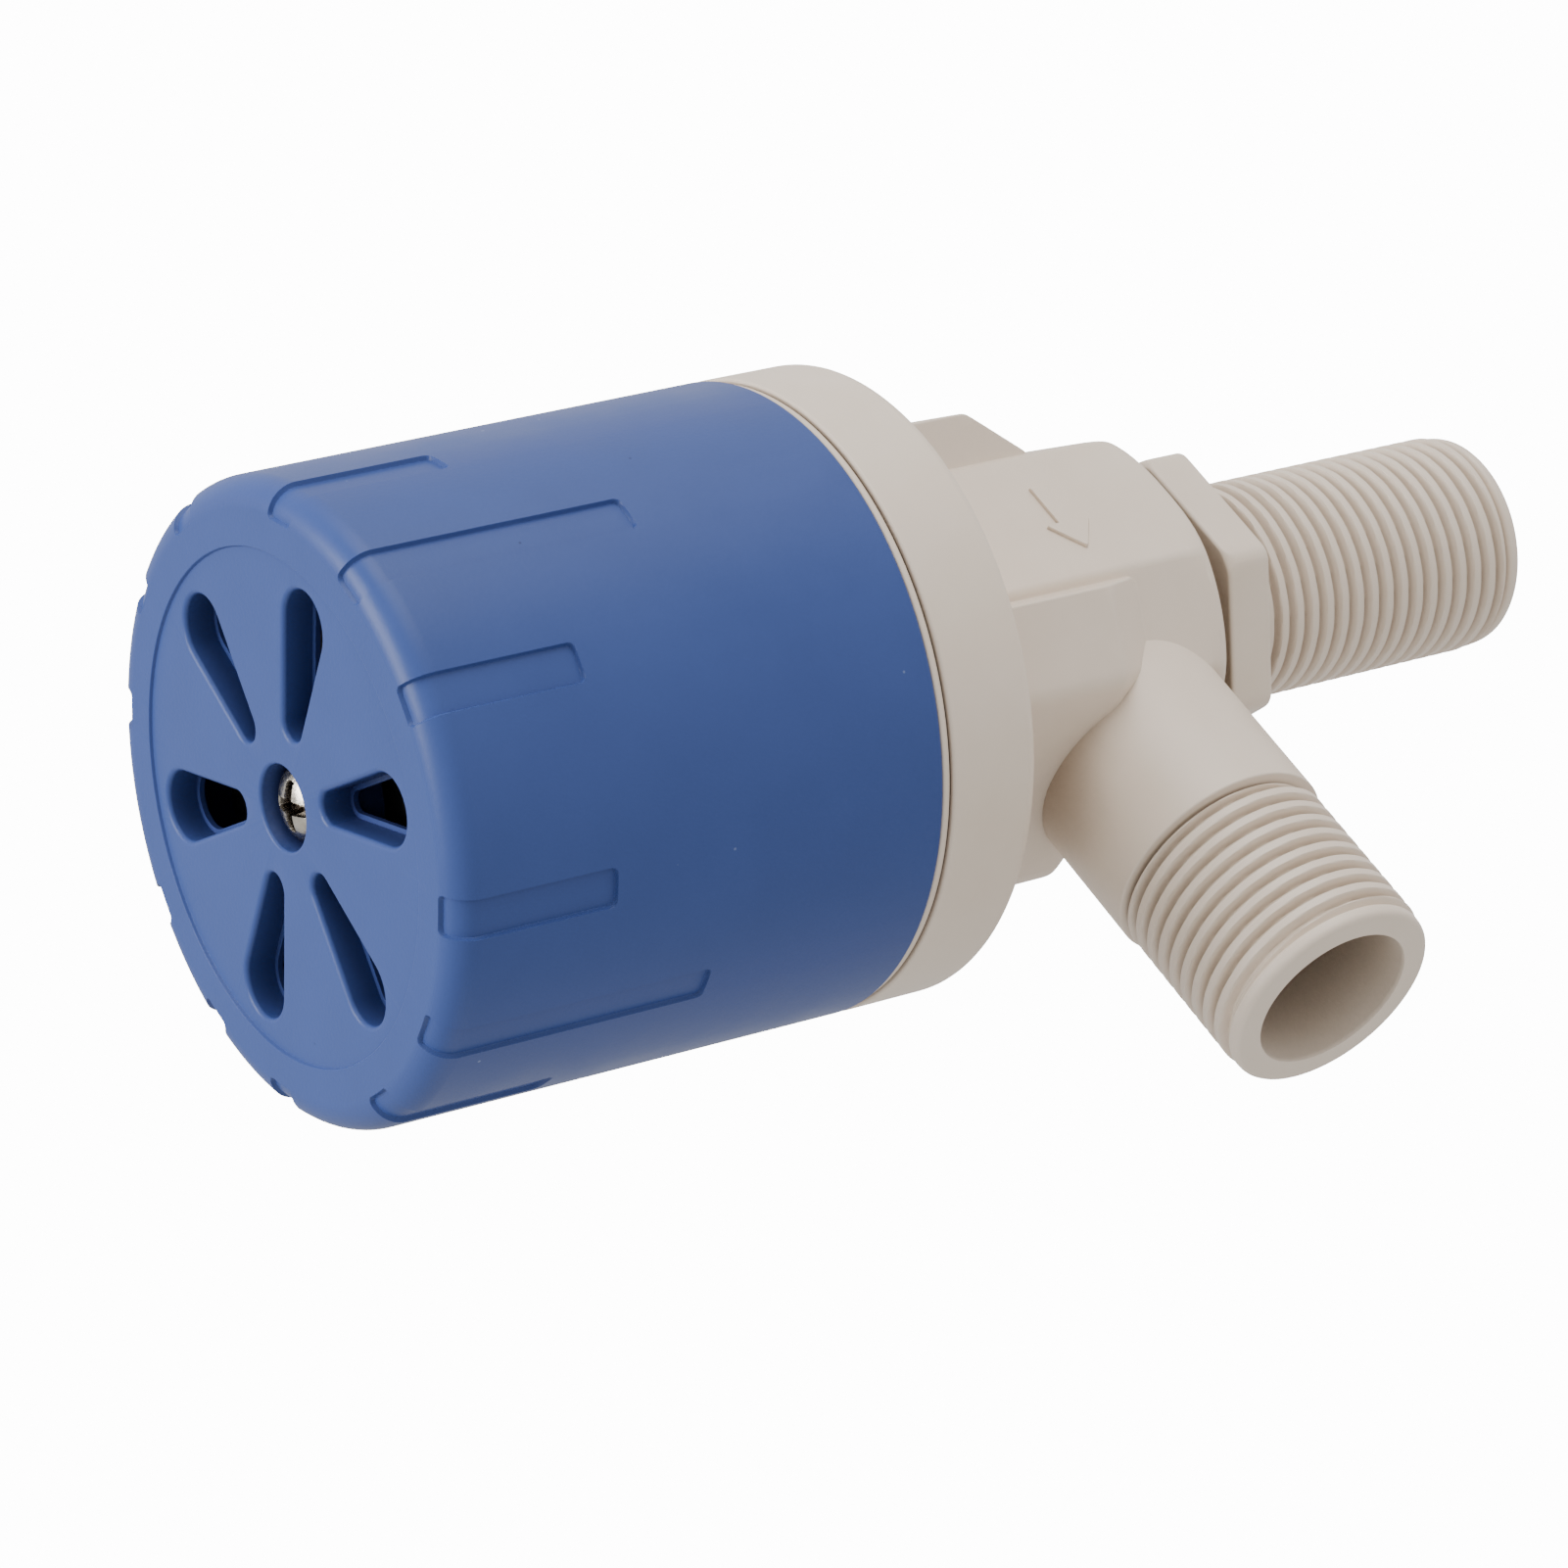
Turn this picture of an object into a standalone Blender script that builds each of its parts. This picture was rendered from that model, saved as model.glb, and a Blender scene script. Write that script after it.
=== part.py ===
"""Float valve for a water tank: a moulded valve body with a threaded outlet at its side and a
threaded inlet at its top, a pilot piston inside it, and a float in a slotted shell below it.

Metres, +Z up. The valve hangs upright, as in use: the inlet is at the top, the outlet points
along -Y, and the origin is at the centre of the hexagon's upper face, where the pipe's nut
stops. Heights in the functions below are measured from the shell's foot, because every piece
is a child of the empty that stands there.
"""
import math

import bmesh
import bpy
from mathutils import Matrix, Vector

MM = 0.001
GAP = 0.3 * MM                  # room left between pieces that touch
BEYOND = 1 * MM                 # how far a cutter or a joined form runs past what it meets

# Standard pipe thread, G 1/2
THREAD_RADIUS = 10.478 * MM
END_CHAMFER = 1.1 * MM

# Heights above the shell's foot
HEX_SHOULDER = 99.2 * MM
HEX_BOTTOM = 94.4 * MM
INLET_END = 132.0 * MM
BODY_TOP = 91.6 * MM
RING_TOP = 59.9 * MM
RING_BOTTOM = 50.7 * MM
SHELL_TOP = 49.6 * MM

# Shell
SHELL_FOOT_RADIUS = 28.96 * MM
SHELL_TOP_RADIUS = 29.25 * MM
SHELL_CORNER = 5.4 * MM
SHELL_WALL = 2.15 * MM
SHELL_TURN = math.radians(3.0)  # the shell is screwed on a little past the outlet's line
FLOOR_RECESS = 0.3 * MM
FLOOR_RECESS_RADIUS = 22.95 * MM
FLOOR_THICKNESS = 3.5 * MM
SLOT_COUNT = 6
SLOT_START = math.radians(45.0)
SLOT_INNER = 6.9 * MM
SLOT_OUTER = 21.4 * MM
SLOT_INNER_HALF = 1.5 * MM
SLOT_OUTER_HALF = 3.2 * MM
WELL_RADIUS = 3.87 * MM
WELL_DEPTH = 3.6 * MM
SHELL_SCREW_HOLE = 2.1 * MM
GRIP_WIDTH = 3.7 * MM
GRIP_DEPTH = 0.42 * MM
GRIP_LONG_END = 27.2 * MM
GRIP_SHORT_END = 16.0 * MM
GRIP_STEP = math.radians(25.6)

# Valve body
RING_RADIUS = 29.25 * MM
RING_FILLET = 1.2 * MM
BLOCK_HALF = 15.76 * MM         # from the axis to each of the four main flats
BLOCK_FLAT_HALF = 8.1 * MM      # half the width of a main flat
BLOCK_EDGE = 1.5 * MM
BODY_SINK = 1.5 * MM            # how deep the block and ribs run into the ring they stand on
RIB_REACH = 21.8 * MM
RIB_HALF = 4.4 * MM
RIB_FOLD = 75.2 * MM
RIB_TOP = 81.5 * MM
FRONT_REACH = 18.45 * MM        # the thickened wall under the outlet, flush with two ribs
FRONT_HALF = 12.0 * MM
CHAMBER_RADIUS = 13.0 * MM
CHAMBER_TOP = 83.5 * MM
SKIRT_INNER = 26.0 * MM
SKIRT_ROOF = 57.4 * MM
FITTING_HOLE = 11.6 * MM
SEAL_POCKET_RADIUS = 13.4 * MM
SEAL_POCKET_BOTTOM = 89.2 * MM

# Outlet
OUTLET_HEIGHT = 81.1 * MM
OUTLET_REACH = 49.7 * MM
OUTLET_NECK_END = 31.6 * MM
OUTLET_NECK_RADIUS = 10.8 * MM
OUTLET_BORE = 7.6 * MM
OUTLET_BORE_END = 22.0 * MM
OUTLET_ROOT = 8 * MM            # where the outlet starts, inside the chamber's wall
PASSAGE_RADIUS = 5.0 * MM
PASSAGE_HEIGHT = 78.3 * MM
PASSAGE_START = 9 * MM

# Inlet fitting
HEX_CORNER = 14.78 * MM
STUB_RADIUS = 11.3 * MM
INLET_BORE = 6.2 * MM
STRAINER_SEAT_RADIUS = 7.0 * MM
STRAINER_SEAT = 128.2 * MM
NOZZLE_RADIUS = 8.3 * MM
NOZZLE_RIM = 76.0 * MM

# Pilot cover
COVER_RIM_RADIUS = 28.9 * MM
COVER_RIM_BOTTOM = 49.9 * MM
COVER_RIM_TOP = 50.4 * MM
COVER_TOP = 55.8 * MM
COVER_CEILING = 53.3 * MM       # underside of the cover, above the float
COVER_BODY_RADIUS = 25.7 * MM
COVER_SKIRT_RADIUS = 26.75 * MM
COVER_SKIRT_WALL = 1.75 * MM
COVER_SKIRT_END = 46.5 * MM
POST_RADIUS = 3.4 * MM
POST_FOOT = 7.5 * MM
POST_FLARE_RADIUS = 6.0 * MM
POST_FLARE_START = 50.0 * MM
POST_HOLE = 1.6 * MM
POST_HOLE_END = 22 * MM
SCREW_CIRCLE = 18.5 * MM
SCREW_HOLE = 1.75 * MM
SCREW_HOLE_TOP = 67 * MM
SCREW_ANGLES = [math.radians(a) for a in (45, 135, 225, 315)]

# Pilot lever
LEVER_X = 6.5 * MM
PIVOT_Y = 13.5 * MM
PIVOT_HEIGHT = 45.5 * MM
PILOT_ARM = 7.0 * MM
LEVER_ARM = 28.6 * MM
LEVER_REST_TILT = math.radians(6.0)
LEVER_HALF_WIDTH = 1.3 * MM
LEVER_HALF_HEIGHT = 1.2 * MM
PIN_RADIUS = 0.9 * MM
PIN_HOLE = 1.1 * MM
EAR_THICKNESS = 1.5 * MM
EAR_GAP = 0.35 * MM
EAR_HALF = 2.2 * MM
PILOT_TIP = 47.6 * MM
PILOT_JET = 0.6 * MM

# Facets round a turned piece
AROUND_LARGE = 48
AROUND_MEDIUM = 32
AROUND_SMALL = 16


def clear_scene():
    """Take away whatever the file held before."""
    for thing in list(bpy.data.objects):
        bpy.data.objects.remove(thing, do_unlink=True)


def material(name, colour, roughness, metallic=0.0):
    """A plain material: one colour, one roughness."""
    found = bpy.data.materials.new(name)
    found.use_nodes = True
    shader = found.node_tree.nodes["Principled BSDF"]
    shader.inputs["Base Color"].default_value = (*colour, 1.0)
    shader.inputs["Roughness"].default_value = roughness
    shader.inputs["Metallic"].default_value = metallic
    return found


def empty(name, location=(0, 0, 0), rotation=(0, 0, 0), parent=None):
    """An empty that its children turn or slide with."""
    guide = bpy.data.objects.new(name, None)
    bpy.context.scene.collection.objects.link(guide)
    guide.location = location
    guide.rotation_euler = rotation
    guide.parent = parent
    return guide


def finished(name, mesh_edit, surface, parent, location=(0, 0, 0), rotation=(0, 0, 0)):
    """Turn an edited mesh into a named object with its faces pointing out."""
    bmesh.ops.recalc_face_normals(mesh_edit, faces=mesh_edit.faces[:])
    mesh = bpy.data.meshes.new(name)
    mesh_edit.to_mesh(mesh)
    mesh_edit.free()
    mesh.shade_smooth()
    mesh.set_sharp_from_angle(angle=math.radians(30))
    piece = bpy.data.objects.new(name, mesh)
    bpy.context.scene.collection.objects.link(piece)
    piece.location = location
    piece.rotation_euler = rotation
    piece.parent = parent
    if surface:
        mesh.materials.append(surface)
    return piece


def add_turned(mesh_edit, outline, around, centre=(0.0, 0.0)):
    """Spin an outline of (radius, height) points about a vertical line."""
    points = [mesh_edit.verts.new((centre[0] + r, centre[1], h)) for r, h in outline]
    pairs = list(zip(points, points[1:]))
    if outline[0][0] > 0 or outline[-1][0] > 0:
        pairs.append((points[-1], points[0]))
    edges = [mesh_edit.edges.new(pair) for pair in pairs]
    bmesh.ops.spin(mesh_edit, geom=points + edges, cent=(*centre, 0), axis=(0, 0, 1),
                   angle=2 * math.pi, steps=around, use_merge=True)
    bmesh.ops.remove_doubles(mesh_edit, verts=mesh_edit.verts[:], dist=1e-7)


def turned(name, outline, around, surface, parent, location=(0, 0, 0), rotation=(0, 0, 0)):
    """A turned piece from one outline."""
    mesh_edit = bmesh.new()
    add_turned(mesh_edit, outline, around)
    return finished(name, mesh_edit, surface, parent, location, rotation)


def add_prism(mesh_edit, outline, low, high):
    """Raise a flat outline of (x, y) points from one height to another."""
    base = [mesh_edit.verts.new((x, y, low)) for x, y in outline]
    face = mesh_edit.faces.new(base)
    grown = bmesh.ops.extrude_face_region(mesh_edit, geom=[face])
    raised = [item for item in grown["geom"] if isinstance(item, bmesh.types.BMVert)]
    bmesh.ops.translate(mesh_edit, verts=raised, vec=(0, 0, high - low))


def add_box(mesh_edit, low, high, angle=0.0):
    """A box between two corners, turned to an angle about the valve's axis."""
    corners = [(low[0], low[1]), (high[0], low[1]), (high[0], high[1]), (low[0], high[1])]
    turn = Matrix.Rotation(angle, 2)
    outline = [tuple(turn @ Vector(corner)) for corner in corners]
    add_prism(mesh_edit, outline, low[2], high[2])


def boolean(target, tool, operation):
    """Join a tool to a piece, or cut it out, and keep the tool out of the model."""
    tool.hide_render = True
    tool.display_type = 'WIRE'
    step = target.modifiers.new(tool.name, 'BOOLEAN')
    step.operation = operation
    step.solver = 'EXACT'
    step.object = tool


def quarter_arc(centre, radius, start, steps=4):
    """Points of a quarter circle about (radius, height), anticlockwise from an angle."""
    angles = [math.radians(start + 90 * i / steps) for i in range(steps + 1)]
    return [(centre[0] + radius * math.cos(a), centre[1] + radius * math.sin(a)) for a in angles]


def on_circle(radius, angle):
    """The (x, y) point at an angle round the valve's axis."""
    return radius * math.cos(angle), radius * math.sin(angle)


def slot_outline(angle):
    """A wedge with round ends, wide end outwards, turned to an angle."""
    inner_centre = SLOT_INNER + SLOT_INNER_HALF
    outer_centre = SLOT_OUTER - SLOT_OUTER_HALF
    lean = math.asin((SLOT_OUTER_HALF - SLOT_INNER_HALF) / (outer_centre - inner_centre))
    points = []
    for step in range(5):
        a = -(math.pi / 2 + lean) + step / 4 * (math.pi + 2 * lean)
        points.append((outer_centre + SLOT_OUTER_HALF * math.cos(a), SLOT_OUTER_HALF * math.sin(a)))
    for step in range(4):
        a = math.pi / 2 + lean + step / 3 * (math.pi - 2 * lean)
        points.append((inner_centre + SLOT_INNER_HALF * math.cos(a), SLOT_INNER_HALF * math.sin(a)))
    turn = Matrix.Rotation(angle, 2)
    return [tuple(turn @ Vector(point)) for point in points]


def make_float_shell(foot, surface):
    """The blue cup round the float: slots in its floor, a screw well, grip panels on its side."""
    floor_top = FLOOR_RECESS + FLOOR_THICKNESS
    inner_foot = SHELL_FOOT_RADIUS - SHELL_WALL
    inner_corner, boss_radius, boss_top = 3.0 * MM, 6.0 * MM, 7.2 * MM
    corner = quarter_arc((SHELL_FOOT_RADIUS - SHELL_CORNER, SHELL_CORNER), SHELL_CORNER, -90)
    inside = quarter_arc((inner_foot - inner_corner, floor_top + inner_corner), inner_corner, -90, 2)
    outline = [(WELL_RADIUS, FLOOR_RECESS), (FLOOR_RECESS_RADIUS, FLOOR_RECESS),
               (FLOOR_RECESS_RADIUS, 0)] + corner
    outline += [(SHELL_TOP_RADIUS, SHELL_TOP), (SHELL_TOP_RADIUS - SHELL_WALL, SHELL_TOP)]
    outline += inside[::-1]
    outline += [(boss_radius, floor_top), (boss_radius, boss_top), (SHELL_SCREW_HOLE, boss_top),
                (SHELL_SCREW_HOLE, WELL_DEPTH), (WELL_RADIUS, WELL_DEPTH)]
    turn = (0, 0, SHELL_TURN)
    shell = turned("float_shell", outline, AROUND_LARGE, surface, foot, rotation=turn)

    slots = bmesh.new()
    for index in range(SLOT_COUNT):
        angle = SLOT_START + index * math.tau / SLOT_COUNT
        add_prism(slots, slot_outline(angle), -BEYOND, floor_top + BEYOND)
    boolean(shell, finished("slot_cutter", slots, None, foot, rotation=turn), 'DIFFERENCE')

    grips = bmesh.new()
    floor_radius = SHELL_FOOT_RADIUS - GRIP_DEPTH
    for quarter in range(4):
        for side in (-1, 0, 1):
            end = GRIP_SHORT_END if side else GRIP_LONG_END
            add_box(grips, (floor_radius, -GRIP_WIDTH / 2, -BEYOND),
                    (SHELL_TOP_RADIUS + BEYOND, GRIP_WIDTH / 2, end),
                    quarter * math.pi / 2 + side * GRIP_STEP)
    boolean(shell, finished("grip_cutter", grips, None, foot, rotation=turn), 'DIFFERENCE')


def block_outline():
    """A square with its corners cut off: the section of the body's upper part."""
    half, flat = BLOCK_HALF, BLOCK_FLAT_HALF
    return [(half, -flat), (half, flat), (flat, half), (-flat, half),
            (-half, flat), (-half, -flat), (-flat, -half), (flat, -half)]


def add_block(mesh_edit):
    """The faceted upper part, with a bevelled top edge."""
    add_prism(mesh_edit, block_outline(), RING_TOP - BODY_SINK, BODY_TOP - BLOCK_EDGE)
    top = max(mesh_edit.faces, key=lambda face: face.calc_center_median().z)
    grown = bmesh.ops.extrude_face_region(mesh_edit, geom=[top])
    mesh_edit.faces.remove(top)
    raised = [item for item in grown["geom"] if isinstance(item, bmesh.types.BMVert)]
    scale = (BLOCK_HALF - BLOCK_EDGE) / BLOCK_HALF
    bmesh.ops.scale(mesh_edit, verts=raised, vec=(scale, scale, 1))
    bmesh.ops.translate(mesh_edit, verts=raised, vec=(0, 0, BLOCK_EDGE))


def add_rib(mesh_edit, angle, reach, half_width, flat):
    """A rib out to a reach: upright from the flange ring, then sloping in to the body's flat."""
    low = RING_TOP - BODY_SINK
    inner = BLOCK_HALF - BEYOND
    side = [(inner, low), (reach, low), (reach, RIB_FOLD), (flat, RIB_TOP), (inner, RIB_TOP)]
    out = Vector((math.cos(angle), math.sin(angle), 0))
    across = Vector((-math.sin(angle), math.cos(angle), 0)) * half_width
    base = [mesh_edit.verts.new(out * distance + Vector((0, 0, height)) - across)
            for distance, height in side]
    face = mesh_edit.faces.new(base)
    grown = bmesh.ops.extrude_face_region(mesh_edit, geom=[face])
    moved = [item for item in grown["geom"] if isinstance(item, bmesh.types.BMVert)]
    bmesh.ops.translate(mesh_edit, verts=moved, vec=2 * across)


def make_valve_body(foot, surface):
    """Flange ring, faceted body, its ribs and the outlet, moulded as one piece."""
    fillet = quarter_arc((RING_RADIUS - RING_FILLET, RING_TOP - RING_FILLET), RING_FILLET, 0, 3)
    ring = [(0, RING_BOTTOM), (RING_RADIUS, RING_BOTTOM)] + fillet + [(0, RING_TOP)]
    body = turned("valve_body", ring, AROUND_LARGE, surface, foot)

    block = bmesh.new()
    add_block(block)
    boolean(body, finished("block_form", block, None, foot), 'UNION')
    ribs = bmesh.new()
    corner_flat = (BLOCK_HALF + BLOCK_FLAT_HALF) / math.sqrt(2)
    for angle in SCREW_ANGLES:
        add_rib(ribs, angle, RIB_REACH, RIB_HALF, corner_flat)
    boolean(body, finished("rib_form", ribs, None, foot), 'UNION')
    front = bmesh.new()
    add_rib(front, -math.pi / 2, FRONT_REACH, FRONT_HALF, BLOCK_HALF)
    boolean(body, finished("front_form", front, None, foot), 'UNION')

    sideways = (math.pi / 2, 0, 0)
    at_outlet = (0, 0, OUTLET_HEIGHT)
    neck = [(0, OUTLET_ROOT), (OUTLET_NECK_RADIUS, OUTLET_ROOT),
            (OUTLET_NECK_RADIUS, OUTLET_NECK_END),
            (THREAD_RADIUS, OUTLET_NECK_END), (THREAD_RADIUS, OUTLET_REACH - END_CHAMFER),
            (THREAD_RADIUS - END_CHAMFER, OUTLET_REACH), (0, OUTLET_REACH)]
    boolean(body, turned("outlet_form", neck, AROUND_LARGE, None, foot, at_outlet, sideways), 'UNION')

    chamber = [(0, RING_BOTTOM - BEYOND), (SKIRT_INNER, RING_BOTTOM - BEYOND),
               (SKIRT_INNER, SKIRT_ROOF), (CHAMBER_RADIUS, SKIRT_ROOF),
               (CHAMBER_RADIUS, CHAMBER_TOP), (FITTING_HOLE, CHAMBER_TOP),
               (FITTING_HOLE, SEAL_POCKET_BOTTOM), (SEAL_POCKET_RADIUS, SEAL_POCKET_BOTTOM),
               (SEAL_POCKET_RADIUS, BODY_TOP + BEYOND), (0, BODY_TOP + BEYOND)]
    boolean(body, turned("chamber_cutter", chamber, AROUND_LARGE, None, foot), 'DIFFERENCE')

    bore = [(0, OUTLET_BORE_END), (OUTLET_BORE, OUTLET_BORE_END),
            (OUTLET_BORE, OUTLET_REACH + BEYOND), (0, OUTLET_REACH + BEYOND)]
    boolean(body, turned("bore_cutter", bore, AROUND_MEDIUM, None, foot, at_outlet, sideways),
            'DIFFERENCE')
    passage = [(0, PASSAGE_START), (PASSAGE_RADIUS, PASSAGE_START),
               (PASSAGE_RADIUS, OUTLET_BORE_END + BEYOND), (0, OUTLET_BORE_END + BEYOND)]
    boolean(body, turned("passage_cutter", passage, AROUND_MEDIUM, None, foot,
                         (0, 0, PASSAGE_HEIGHT), sideways), 'DIFFERENCE')

    holes = bmesh.new()
    for angle in SCREW_ANGLES:
        outline = [(0, SKIRT_ROOF - BEYOND), (SCREW_HOLE, SKIRT_ROOF - BEYOND),
                   (SCREW_HOLE, SCREW_HOLE_TOP), (0, SCREW_HOLE_TOP)]
        add_turned(holes, outline, AROUND_SMALL, on_circle(SCREW_CIRCLE, angle))
    boolean(body, finished("screw_hole_cutter", holes, None, foot), 'DIFFERENCE')


def make_inlet_fitting(foot, surface):
    """Threaded inlet with a hexagon, a stub that screws into the body, and the seat nozzle."""
    nose_width, nose_height = 1 * MM, 1.2 * MM
    outline = [(INLET_BORE, NOZZLE_RIM), (INLET_BORE + nose_width, NOZZLE_RIM),
               (NOZZLE_RADIUS, NOZZLE_RIM + nose_height), (NOZZLE_RADIUS, CHAMBER_TOP + GAP),
               (STUB_RADIUS, CHAMBER_TOP + GAP), (STUB_RADIUS, HEX_BOTTOM + BEYOND),
               (THREAD_RADIUS, HEX_BOTTOM + BEYOND), (THREAD_RADIUS, INLET_END - END_CHAMFER),
               (THREAD_RADIUS - END_CHAMFER, INLET_END), (STRAINER_SEAT_RADIUS, INLET_END),
               (STRAINER_SEAT_RADIUS, STRAINER_SEAT), (INLET_BORE, STRAINER_SEAT)]
    fitting = turned("inlet_fitting", outline, AROUND_LARGE, surface, foot)

    hexagon = bmesh.new()
    corners = [on_circle(HEX_CORNER, math.radians(30 + 60 * i)) for i in range(6)]
    add_prism(hexagon, corners, HEX_BOTTOM, HEX_SHOULDER)
    form = finished("hexagon_form", hexagon, None, foot)
    inside = INLET_BORE + BEYOND
    bore = [(0, HEX_BOTTOM - BEYOND), (inside, HEX_BOTTOM - BEYOND),
            (inside, HEX_SHOULDER + BEYOND), (0, HEX_SHOULDER + BEYOND)]
    boolean(form, turned("hexagon_bore", bore, AROUND_MEDIUM, None, foot), 'DIFFERENCE')
    boolean(fitting, form, 'UNION')


def torus_outline(centre_radius, height, thickness, steps=6):
    """A round section for a ring seal."""
    angles = [math.tau * i / steps for i in range(steps)]
    return [(centre_radius + thickness * math.cos(a), height + thickness * math.sin(a))
            for a in angles]


def make_seals(foot, rubber):
    """The inlet's O-ring, the sleeve's O-ring and the flat gasket over the pilot cover."""
    inlet_ring, inlet_ring_height, inlet_cord = 12.35 * MM, 90.2 * MM, 0.7 * MM
    turned("inlet_o_ring", torus_outline(inlet_ring, inlet_ring_height, inlet_cord),
           AROUND_MEDIUM, rubber, foot)
    sleeve_ring, sleeve_ring_height, sleeve_cord = 12.3 * MM, 61.0 * MM, 0.5 * MM
    turned("sleeve_o_ring", torus_outline(sleeve_ring, sleeve_ring_height, sleeve_cord),
           AROUND_MEDIUM, rubber, foot)
    inner, outer, thickness = 13.1 * MM, 25.5 * MM, 1 * MM
    low = COVER_TOP + GAP
    high = low + thickness
    outline = [(inner, low), (outer, low), (outer, high), (inner, high)]
    gasket = turned("cover_gasket", outline, AROUND_MEDIUM, rubber, foot)
    holes = bmesh.new()
    for angle in SCREW_ANGLES:
        outline = [(0, low - BEYOND), (SCREW_HOLE, low - BEYOND), (SCREW_HOLE, high + BEYOND),
                   (0, high + BEYOND)]
        add_turned(holes, outline, AROUND_SMALL, on_circle(SCREW_CIRCLE, angle))
    boolean(gasket, finished("gasket_hole_cutter", holes, None, foot), 'DIFFERENCE')


def make_strainer(foot, surface):
    """A thimble with six windows, dropped into the mouth of the inlet."""
    cage, inside, lip = 5.4 * MM, 4.4 * MM, 6.7 * MM
    low, floor = 118.0 * MM, 119.0 * MM
    seat, top = STRAINER_SEAT + GAP, 130.0 * MM
    outline = [(0, low), (cage, low), (cage, seat), (lip, seat), (lip, top), (inside, top),
               (inside, floor), (0, floor)]
    strainer = turned("inlet_strainer", outline, 24, surface, foot)
    window_count, half_window = 6, 1 * MM
    window_low, window_high = 120 * MM, 127 * MM
    first = math.radians(7.5)       # a window's middle falls between two facets' edges
    windows = bmesh.new()
    for index in range(window_count):
        add_box(windows, (inside - BEYOND, -half_window, window_low),
                (cage + BEYOND, half_window, window_high), first + index * math.tau / window_count)
    boolean(strainer, finished("window_cutter", windows, None, foot), 'DIFFERENCE')


def make_sleeve(foot, surface):
    """The liner that the piston slides in, with a groove for its O-ring."""
    inner, outer, groove = 10.9 * MM, 12.7 * MM, 11.65 * MM
    low, high = 56.1 * MM, 71.5 * MM
    groove_low, groove_high = 60.2 * MM, 61.8 * MM
    outline = [(inner, low), (outer, low), (outer, groove_low), (groove, groove_low),
               (groove, groove_high), (outer, groove_high), (outer, high), (inner, high)]
    turned("piston_sleeve", outline, AROUND_MEDIUM, surface, foot)


def make_piston(axis, plastic, rubber):
    """The piston with its seat disc, the button that holds the disc, and its cup seal. The
    piston is a cup open downwards, with a boss in its middle for the button's stem."""
    bleed, stem, boss, inside = 0.6 * MM, 2.3 * MM, 3.8 * MM, 8.2 * MM
    lip, outer, crown = 9.2 * MM, 10.5 * MM, 10.2 * MM
    foot_height, lip_top, boss_foot, stem_floor = 66.0 * MM, 68.2 * MM, 69.5 * MM, 70.6 * MM
    under, shoulder, top = 71.9 * MM, 72.5 * MM, 73.9 * MM
    outline = [(bleed, boss_foot), (boss, boss_foot), (boss, under), (inside, under),
               (inside, foot_height), (lip, foot_height), (lip, lip_top), (outer, lip_top),
               (outer, shoulder), (crown, top), (stem, top), (stem, stem_floor),
               (bleed, stem_floor)]
    turned("main_piston", outline, AROUND_MEDIUM, plastic, axis)

    disc, disc_thickness = 9.6 * MM, 1.5 * MM
    disc_low = top + GAP
    disc_high = disc_low + disc_thickness
    outline = [(stem, disc_low), (disc, disc_low), (disc, disc_high), (stem, disc_high)]
    turned("seat_disc", outline, AROUND_MEDIUM, rubber, axis)

    jet, shank, head, head_top_radius, head_height = 0.5 * MM, 2.0 * MM, 4.2 * MM, 3.6 * MM, 1 * MM
    shank_low, head_low = stem_floor + 0.4 * MM, disc_high + GAP
    outline = [(jet, shank_low), (shank, shank_low), (shank, head_low), (head, head_low),
               (head_top_radius, head_low + head_height), (jet, head_low + head_height)]
    turned("disc_button", outline, AROUND_SMALL, plastic, axis)

    seal_inner, lip_inner, lip_outer, heel = lip + GAP, 10.3 * MM, 10.65 * MM, 10.5 * MM
    inner_foot, outer_foot = foot_height + 0.2 * MM, foot_height + 0.4 * MM
    outline = [(seal_inner, inner_foot), (lip_inner, foot_height), (lip_outer, outer_foot),
               (heel, lip_top - GAP), (seal_inner, lip_top - GAP)]
    turned("piston_cup_seal", outline, AROUND_MEDIUM, rubber, axis)


def make_return_spring(axis, surface):
    """A six-turn coil spring under the piston, a round wire swept along a helix."""
    coil, wire, turns = 7.0 * MM, 0.45 * MM, 6
    low, high = 56.6 * MM, 71.4 * MM
    per_turn, sides = 14, 5
    mesh_edit = bmesh.new()
    rings = []
    for step in range(turns * per_turn + 1):
        a = math.tau * step / per_turn
        out = Vector((math.cos(a), math.sin(a), 0))
        height = low + (high - low) * step / (turns * per_turn)
        centre = out * coil + Vector((0, 0, height))
        spots = [math.tau * i / sides for i in range(sides)]
        rings.append([mesh_edit.verts.new(centre + wire * (out * math.cos(b)
                      + Vector((0, 0, math.sin(b))))) for b in spots])
    for ring, following in zip(rings, rings[1:]):
        for i in range(sides):
            j = (i + 1) % sides
            mesh_edit.faces.new((ring[i], ring[j], following[j], following[i]))
    mesh_edit.faces.new(rings[0])
    mesh_edit.faces.new(rings[-1])
    finished("return_spring", mesh_edit, surface, axis)


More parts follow.
